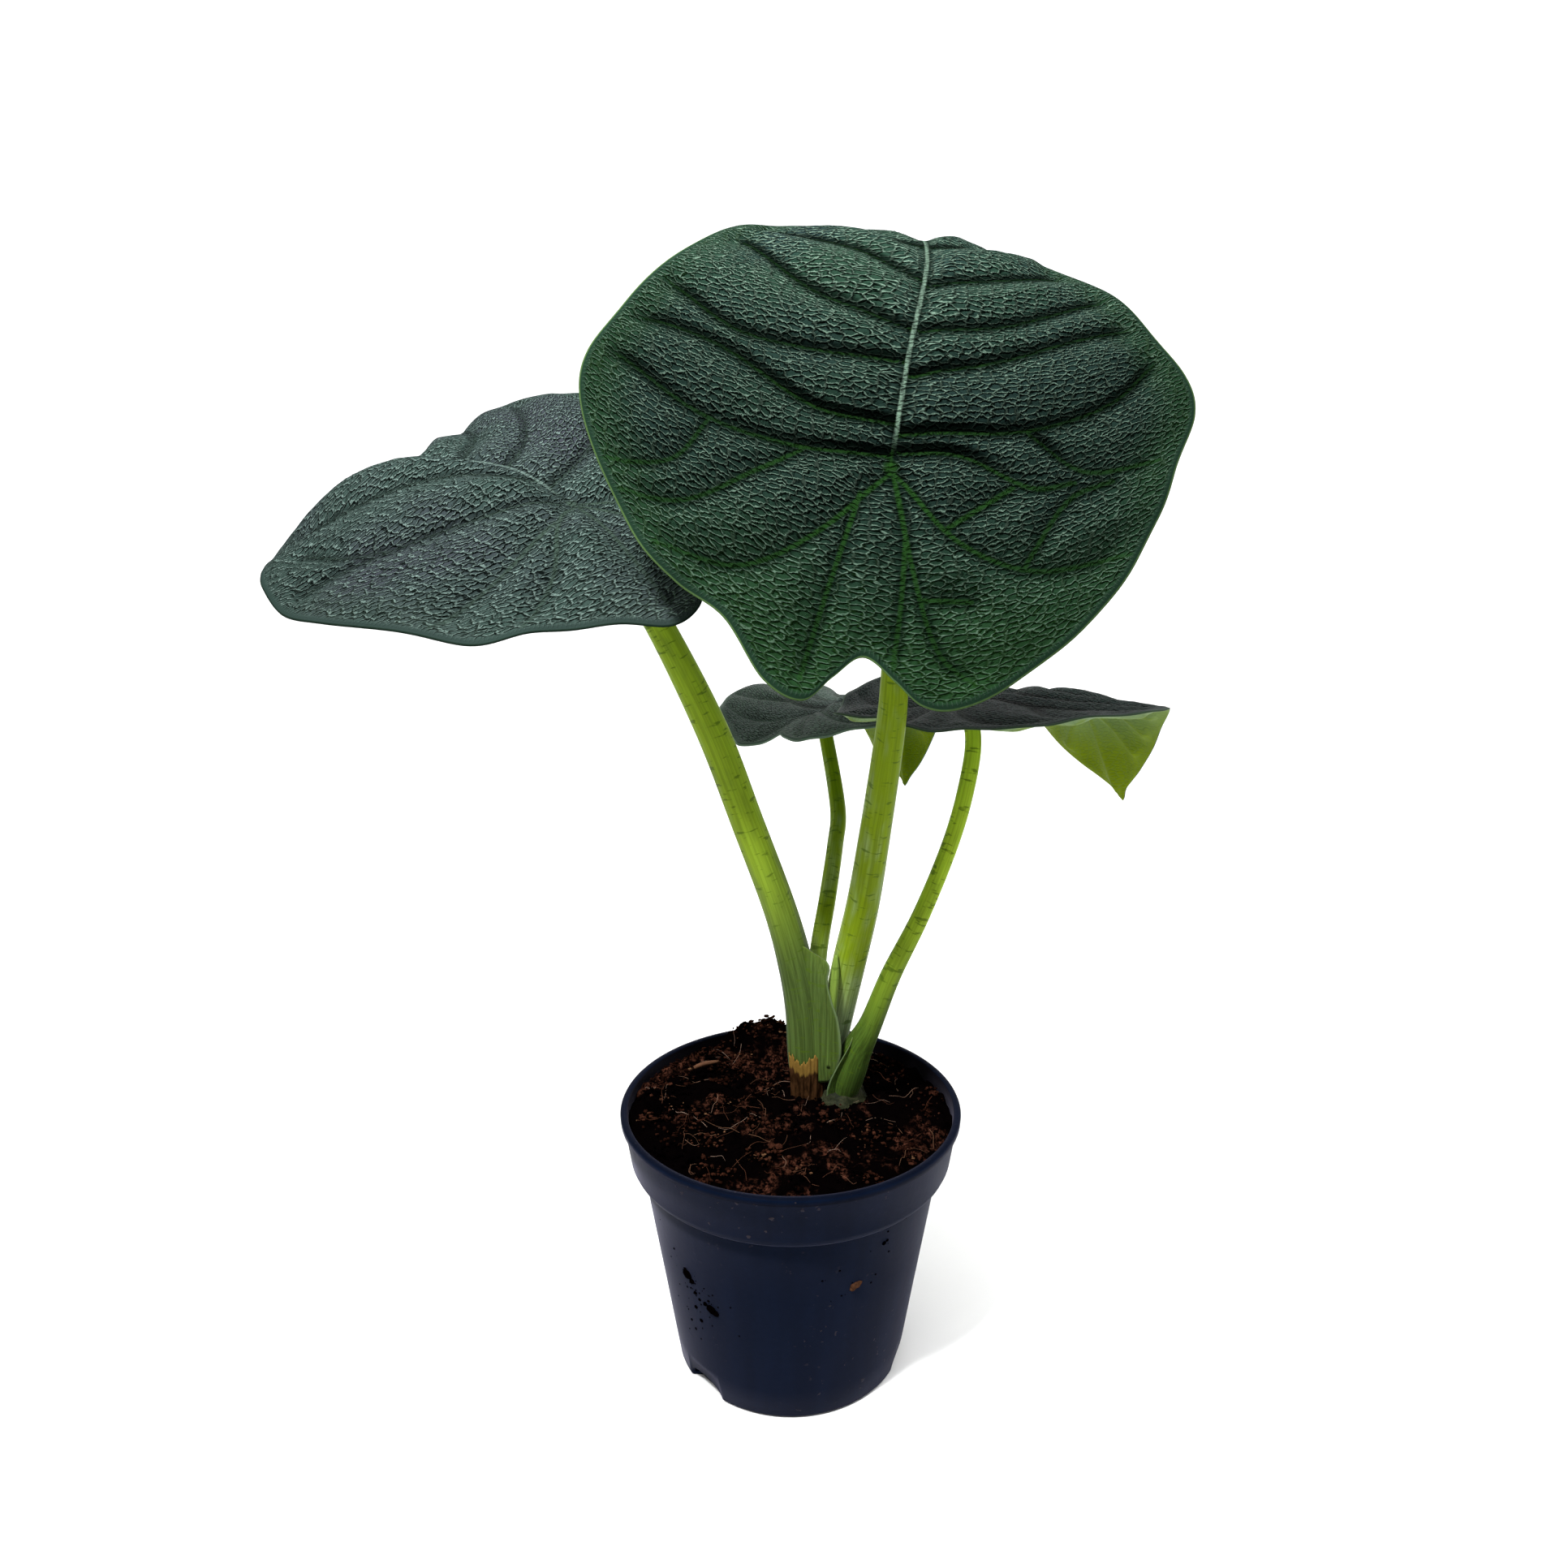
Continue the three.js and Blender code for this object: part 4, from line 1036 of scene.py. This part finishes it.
def rootstock_mesh():
    """A knobbly rounded rootstock with four roots that run down into the soil."""
    shape = bmesh.new()
    bmesh.ops.create_icosphere(shape, subdivisions=5, radius=1)
    body = mesh_from("rootstock", shape)
    round_points = points_of(body)
    knobs = 1 + 0.05 * fractal(round_points, 3)
    rings = 1 + 0.012 * np.sin(30 * round_points[:, 2] + 3 * round_points[:, 0])
    reach = np.array([11, 11.5, 12]) * (knobs * rings)[:, None]
    place_points(body, round_points * reach + (18, 11, 88))
    return joined("rootstock", [body, rod_mesh("roots", ROOTS, 12, 10)])


def dry_scale_mesh():
    """A curved papery scale with a ragged top, round the front of the left stalk's foot."""
    mesh = plate_mesh("dry_scale", 60, 24)
    across, height, layer = (points_of(mesh) + (0, 0.5, 0)).T
    turn = np.radians(-62 + 116 * (across + 0.5))
    ragged = 1.5 * np.sin(5 * turn) - 2.5 * np.abs(across)
    ragged += 0.7 * np.sin(23 * turn + 1) + 0.35 * np.sin(51 * turn)
    crease = 0.18 * np.sin(19 * turn + 2 * height) + 0.1 * np.sin(37 * turn)
    reach = 7.8 - 1.4 * (1 - height) + layer * (0.8 - 0.5 * height) + crease
    place_points(mesh, np.column_stack([
        6.5 + reach * np.sin(turn), 11 - reach * np.cos(turn), 90 + (21 + ragged) * height]))
    add_vectors(mesh, "tone", height)
    return mesh


class ALOCASIA_OT_soil(bpy.types.Operator):
    """Builds the potting mix with its loose crumbs and fibres"""

    bl_idname = "alocasia.soil"
    bl_label = "Soil"

    def execute(self, context):
        pot = context.scene.alocasia_pot
        mix = crumb_material("potting_mix")
        new_piece("potting_mix", soil_mesh(), [mix], ["potting_soil"])
        draw = random.Random(pot.seed)
        new_piece("loose_crumbs", crumbs_mesh(draw, pot.crumbs), [mix], smooth=False)
        new_piece("loose_fibres", fibres_mesh(draw, pot.fibres), [fibre_material("coir")])
        return {"FINISHED"}


def soil_mesh():
    """A closed plug of soil with a rough, lumpy top that fits inside the pot."""
    mesh = disc_mesh("potting_mix", 120, cuts=3)
    corners = points_of(mesh)
    level = corners[:, 2]
    top = level > 0.9
    share, turn = disc_place(corners[:, 0], corners[:, 1])
    steps = (0, 0.25, 0.5, 0.75, 1)
    reach = share * np.interp(level, steps, (38.8, 49.6, 54.4, 56.6, 57.1))
    x = reach * np.sin(turn)
    y = reach * np.cos(turn)
    flat = np.column_stack([x, y, np.zeros(len(x))])
    rough = 1.1 * fractal(flat, 0.22, 5) + 0.9 * np.abs(fractal(flat, 0.6, 4, 5.0))
    fade = 1 - smooth_step(share, 0.93, 1)
    loose = soil_height(x, y) + rough * (0.3 + 0.7 * fade) - 0.5
    z = np.where(top, loose, np.interp(level, steps, (2.1, 73, 81, 89, 90)))
    place_points(mesh, np.column_stack([x, y, z]))
    tone = 0.35 + 0.3 * fractal(flat, 0.3, 4, 9.0)
    add_vectors(mesh, "tone", tone, 1)
    return mesh


def brought_in(x, y, limit):
    """A spot that lies within a distance of the pot's axis."""
    inward = min(1, limit / max(math.hypot(x, y), 1))
    return x * inward, y * inward


CRUMBS_A_CLUMP = 28
CRUMBS_A_BATCH = 100


def crumbs_mesh(draw, count):
    """Loose crumbs on the soil, most of them in clumps of one tone, dark or reddish."""
    clumps = [(-17, 42, 3.5, 0.9), (-7, 47, 4, 0.86), (2, 44, 3, 0.88), (-28, 34, 4, 0.88)]
    for _ in range(count // CRUMBS_A_CLUMP):
        reach = 53 * math.sqrt(draw.random())
        turn = draw.uniform(0, math.tau)
        clumps.append((
            reach * math.cos(turn), reach * math.sin(turn), draw.uniform(1.5, 4.5),
            draw.choice((0.2, 0.5, 0.78, 0.84, 0.9))))
    batches = []
    tones = []
    for done in range(0, count, CRUMBS_A_BATCH):
        shape = bmesh.new()
        for _ in range(min(CRUMBS_A_BATCH, count - done)):
            tones += add_crumb(shape, draw, draw.choice(clumps))
        batches.append(mesh_from("crumbs", shape))
    mesh = joined("loose_crumbs", batches)
    place_points(mesh, points_of(mesh))
    add_vectors(mesh, "tone", tones)
    return mesh


def add_crumb(shape, draw, clump):
    """Adds one angular crumb of a clump, and gives the tone of each of its corners."""
    x, y, spread, tone = clump
    x += draw.gauss(0, spread)
    y += draw.gauss(0, spread)
    x, y = brought_in(x, y, 55.5)
    size = draw.uniform(0.25, 0.75) * (1.9 if draw.random() < 0.04 else 1)
    made = bmesh.ops.create_icosphere(shape, subdivisions=1, radius=size)
    z = soil_height(x, y) + draw.uniform(0.1, 1.5) * size
    tone = 0.97 if draw.random() < 0.012 else tone + draw.uniform(-0.14, 0.05)
    stretch = Vector((draw.uniform(0.6, 1.6), draw.uniform(0.6, 1.4), draw.uniform(0.5, 1)))
    for corner in made["verts"]:
        corner.co = corner.co * stretch * draw.uniform(0.6, 1.2) + Vector((x, y, z))
    return [tone] * len(made["verts"])


BARK = [(-36, 22, 98, 0.7), (-33, 23.5, 98.6, 0.9), (-30, 25, 98.5, 0.8), (-27, 27, 98, 0.5)]


def fibres_mesh(draw, count):
    """Thin curved fibres of coir lying on the soil, and one bit of bark."""
    rods = []
    for _ in range(count):
        reach = 52 * math.sqrt(draw.random())
        turn = draw.uniform(0, math.tau)
        x, y = reach * math.cos(turn), reach * math.sin(turn)
        heading = draw.uniform(0, math.tau)
        step = draw.uniform(1.2, 3.6)
        radius = draw.uniform(0.05, 0.11)
        points = []
        for k in range(5):
            z = soil_height(x, y) + draw.uniform(0.2, 1.4)
            points.append((x, y, z, radius * (1 - 0.12 * k)))
            heading += draw.uniform(-0.5, 0.5)
            x += step * math.cos(heading)
            y += step * math.sin(heading)
            x, y = brought_in(x, y, 54)
        rods.append(points)
    rods.append(BARK)
    mesh = rod_mesh("loose_fibres", rods, 10, 5)
    tones = [draw.random() for _ in rods]
    tone = np.repeat(tones, len(mesh.vertices) // len(rods))
    add_vectors(mesh, "tone", tone)
    return mesh


class ALOCASIA_OT_pot(bpy.types.Operator):
    """Builds the nursery pot and the specks of soil on it"""

    bl_idname = "alocasia.pot"
    bl_label = "Pot"

    def execute(self, context):
        pot = context.scene.alocasia_pot
        plastic = pot_material("navy_plastic", pot.colour, (0.12, 0.09, 0.08))
        new_piece("pot", pot_mesh(pot), [plastic], ["nursery_pot"])
        specks = crumb_material("soil_specks")
        new_piece("pot_specks", specks_mesh(random.Random(3)), [specks])
        return {"FINISHED"}


POT_PROFILE = [
    (40.1, 0), (41.1, 1), (42.8, 12), (45.5, 30), (48.9, 52), (52.5, 75.4), (52.8, 76),
    (54.6, 76.9), (56, 78.4), (56.8, 80.2), (58.8, 94), (59.9, 94.6), (60, 96.4), (59.7, 97),
    (57.7, 97), (57.5, 96.6), (57.5, 94), (55.5, 80.2), (51.4, 75), (40, 1.8),
]
DRAIN_ANGLES = (-47, 73, 193)


def round_pot(degrees, out, side, height):
    """A place at an angle round the pot from its front."""
    turn = math.radians(degrees - 90)
    return Vector((
        out * math.cos(turn) - side * math.sin(turn),
        out * math.sin(turn) + side * math.cos(turn), height))


def pot_mesh(pot):
    """The pot's wall spun round its axis, rounded, with three drain recesses cut at the foot."""
    scale = Vector((pot.rim_radius / RIM_RADIUS, 1, pot.height / POT_HEIGHT)) * MM
    shape = bmesh.new()
    line = [(0, 0), *POT_PROFILE, (0, 1.8)]
    corners = [shape.verts.new((r * scale.x, 0, z * scale.z)) for r, z in line]
    sides = [shape.edges.new(pair) for pair in zip(corners, corners[1:])]
    bmesh.ops.spin(
        shape, geom=[*corners, *sides], cent=(0, 0, 0), axis=(0, 0, 1), dvec=(0, 0, 0),
        angle=math.tau, steps=160, use_merge=True)
    bmesh.ops.remove_doubles(shape, verts=shape.verts[:], dist=1e-6)
    bmesh.ops.recalc_face_normals(shape, faces=shape.faces[:])
    mesh = mesh_from("pot", shape)
    cutter = bmesh.new()
    for degrees in DRAIN_ANGLES:
        made = bmesh.ops.create_uvsphere(cutter, u_segments=32, v_segments=20, radius=1)
        for corner in made["verts"]:
            x, y, z = corner.co
            corner.co = round_pot(degrees, 41.6 + 6 * x, 9 * y, 8 * z - 0.5) * MM
    pot = cut_mesh(mesh, mesh_from("drains", cutter))
    corners = points_of(pot) / MM
    reach = np.hypot(corners[:, 0], corners[:, 1])
    # Painted shade: the inner wall above the soil, and half of it on the rim's top
    inside = (reach < 57.6) & (corners[:, 2] > 79) & (reach < pot_inner(corners[:, 2]))
    lip = 0.5 * ((corners[:, 2] > 94.3) & (reach < 59.95))
    inside = np.maximum(inside, lip)
    add_vectors(pot, "inside", inside)
    return pot


def pot_inner(height):
    """Reach of the middle of the pot's wall at a height."""
    return np.interp(height, [75, 80.2, 94, 97], [52.6, 56.1, 58.2, 58.6])


def cut_mesh(mesh, cutter):
    """A copy of a mesh without what lies inside the cutter."""
    body = bpy.data.objects.new("body", mesh)
    tool = bpy.data.objects.new("tool", cutter)
    for piece in (body, tool):
        bpy.context.scene.collection.objects.link(piece)
    cut = body.modifiers.new("cut", "BOOLEAN")
    cut.operation = "DIFFERENCE"
    cut.solver = "EXACT"
    cut.object = tool
    bpy.context.view_layer.update()
    depsgraph = bpy.context.evaluated_depsgraph_get()
    done = bpy.data.meshes.new_from_object(body.evaluated_get(depsgraph))
    done.name = "pot_cut"
    for piece in (body, tool):
        bpy.data.objects.remove(piece)
    return done


# Soil stuck to the pot's side: angle in degrees from the front, height, and size
POT_SPECKS = [
    (-45, 52, 2), (-43, 50, 1.2), (-46, 53.5, 1), (-42, 45.5, 0.9), (-40, 43.5, 0.7),
    (-34, 42, 1.9), (-32, 41, 1.4), (-37, 43, 1), (-35, 45, 0.6), (-43, 39, 0.9), (-41, 34, 0.9),
    (-46, 28, 0.6), (-52, 59, 0.5), (-48, 31, 0.6), (36, 69, 1), (37.5, 69.5, 0.7),
    (25, 55.5, 1.7), (26.5, 56, 1.2), (24, 54.5, 1.1),
]


def pot_radius(height):
    return float(np.interp(height, [1, 75.4, 76.9, 80.2, 94], [41.1, 52.5, 54.6, 56.8, 58.8]))


def specks_mesh(draw):
    """Crumbs of soil stuck to the pot's side, with small grains scattered round them."""
    shape = bmesh.new()
    tones = []
    spots = list(POT_SPECKS)
    for _ in range(60):
        near = draw.choice(POT_SPECKS)
        spots.append((
            near[0] + draw.gauss(0, 6), near[1] + draw.gauss(0, 5), draw.uniform(0.15, 0.45)))
    for k, (degrees, height, size) in enumerate(spots):
        reach = pot_radius(height) + 0.1 * size
        made = bmesh.ops.create_icosphere(shape, subdivisions=2 if size > 1 else 1, radius=size)
        tone = 0.94 if 16 <= k < 19 else draw.uniform(0.1, 0.6)
        for corner in made["verts"]:
            bump = 1 + 0.35 * noise.noise(corner.co * 1.6 + Vector((k, 0, 0)))
            x, y, z = corner.co * bump
            corner.co = round_pot(degrees, reach + 0.4 * x, y, height + 0.8 * z)
            tones.append(tone)
    mesh = mesh_from("pot_specks", shape)
    place_points(mesh, points_of(mesh))
    add_vectors(mesh, "tone", tones)
    return mesh


# Camera: the photograph's width and focal length in pixels, and the tilt in degrees
IMAGE_WIDTH = 1932
FOCAL_LENGTH = 1400
CAMERA_TILT = 13.9
CAMERA_PLACE = (-0.0023, -0.3654, 0.3033)
SENSOR = 36


class ALOCASIA_OT_studio(bpy.types.Operator):
    """Builds the pale floor, the soft lights and the camera"""

    bl_idname = "alocasia.studio"
    bl_label = "Studio"

    def execute(self, context):
        studio = context.scene.alocasia_studio
        self.add_floor(studio)
        self.add_beam((-0.42, -0.62, 1.38), (-0.01, -0.01, 0.33), studio.beam)
        self.add_light("overhead", (-0.25, -0.5, 1.4), (0.0, -0.3, 0.0), 0.8, studio.key)
        self.add_light("backdrop", (0, 0.6, 2.1), (0.0, 1.5, 0.4), 3.4, studio.backdrop)
        world = bpy.data.worlds.new("studio")
        world.use_nodes = True
        light = world.node_tree.nodes["Background"].inputs
        light["Color"].default_value = (1, 1, 1, 1)
        light["Strength"].default_value = studio.room
        context.scene.world = world
        context.scene.view_settings.view_transform = "Standard"
        camera = bpy.data.cameras.new("camera")
        camera.sensor_width = SENSOR
        camera.lens = SENSOR * FOCAL_LENGTH / IMAGE_WIDTH
        camera.clip_start = 0.01
        holder = bpy.data.objects.new("camera", camera)
        holder.location = CAMERA_PLACE
        holder.rotation_euler = (math.radians(90 - CAMERA_TILT), 0, 0)
        context.scene.collection.objects.link(holder)
        context.scene.camera = holder
        return {"FINISHED"}

    def add_floor(self, studio):
        """A floor that sweeps up into a backdrop."""
        shape = bmesh.new()
        corners = [shape.verts.new(at) for at in ((-4, -4, 0), (4, -4, 0))]
        edge = shape.edges.new(corners)
        moves = [(0, 5.2, 0)]
        moves += [(0, 0.09 * math.cos(0.157 * k), 0.09 * math.sin(0.157 * k)) for k in range(1, 11)]
        moves.append((0, 0, 4))
        strip = [edge]
        for move in moves:
            made = bmesh.ops.extrude_edge_only(shape, edges=strip)["geom"]
            bmesh.ops.translate(shape, verts=of_kind(made, bmesh.types.BMVert), vec=move)
            strip = of_kind(made, bmesh.types.BMEdge)
        mesh = mesh_from("floor", shape)
        mesh.polygons.foreach_set("use_smooth", [True] * len(mesh.polygons))
        material, start = new_material("pale_floor")
        grain = start.place().noise(40.0)
        colour = grain.blend(tinted(studio.floor, 0.98), studio.floor)
        finish_material(start, colour, 0.6 + 0.1 * grain, grain, 0.00002)
        floor = bpy.data.objects.new("floor", mesh)
        mesh.materials.append(material)
        bpy.context.scene.collection.objects.link(floor)

    def add_beam(self, place, target, power):
        """A soft-edged beam from above, aimed at the blades."""
        lamp = bpy.data.lights.new("beam", "SPOT")
        lamp.energy = power
        lamp.spot_size = math.radians(22)
        lamp.spot_blend = 1.0
        lamp.shadow_soft_size = 0.1
        self.aim("beam", lamp, place, target)

    def add_light(self, name, place, target, size, power):
        lamp = bpy.data.lights.new(name, "AREA")
        lamp.size = size
        lamp.energy = power
        self.aim(name, lamp, place, target)

    def aim(self, name, lamp, place, target):
        holder = bpy.data.objects.new(name, lamp)
        holder.location = place
        holder.rotation_euler = (Vector(target) - Vector(place)).to_track_quat("-Z", "Y").to_euler()
        bpy.context.scene.collection.objects.link(holder)


class ALOCASIA_PT_panel(bpy.types.Panel):
    """Sidebar panel with the pieces of the potted alocasia"""

    bl_idname = "ALOCASIA_PT_panel"
    bl_label = "Potted Alocasia"
    bl_space_type = "VIEW_3D"
    bl_region_type = "UI"
    bl_category = "Alocasia"

    def draw(self, context):
        for group in ("alocasia_plant", "alocasia_pot", "alocasia_studio"):
            settings = getattr(context.scene, group)
            box = self.layout.box()
            for name in settings.bl_rna.properties.keys():
                if name not in ("rna_type", "name"):
                    box.prop(settings, name)
        for operator in OPERATORS:
            self.layout.operator(operator.bl_idname)


OPERATORS = (
    ALOCASIA_OT_studio,
    ALOCASIA_OT_pot,
    ALOCASIA_OT_soil,
    ALOCASIA_OT_stalks,
    ALOCASIA_OT_foot,
    ALOCASIA_OT_blades,
)
GROUPS = {
    "alocasia_plant": PlantSettings,
    "alocasia_pot": PotSettings,
    "alocasia_studio": StudioSettings,
}


def register():
    for cls in (*GROUPS.values(), *OPERATORS, ALOCASIA_PT_panel):
        bpy.utils.register_class(cls)
    for name, cls in GROUPS.items():
        setattr(bpy.types.Scene, name, PointerProperty(type=cls))


def unregister():
    for name in GROUPS:
        delattr(bpy.types.Scene, name)
    for cls in (ALOCASIA_PT_panel, *reversed(OPERATORS), *reversed(GROUPS.values())):
        bpy.utils.unregister_class(cls)


def main():
    register()
    bpy.ops.alocasia.studio()
    bpy.ops.alocasia.pot()
    bpy.ops.alocasia.soil()
    bpy.ops.alocasia.stalks()
    bpy.ops.alocasia.foot()
    bpy.ops.alocasia.blades()


if __name__ == "__main__":
    main()
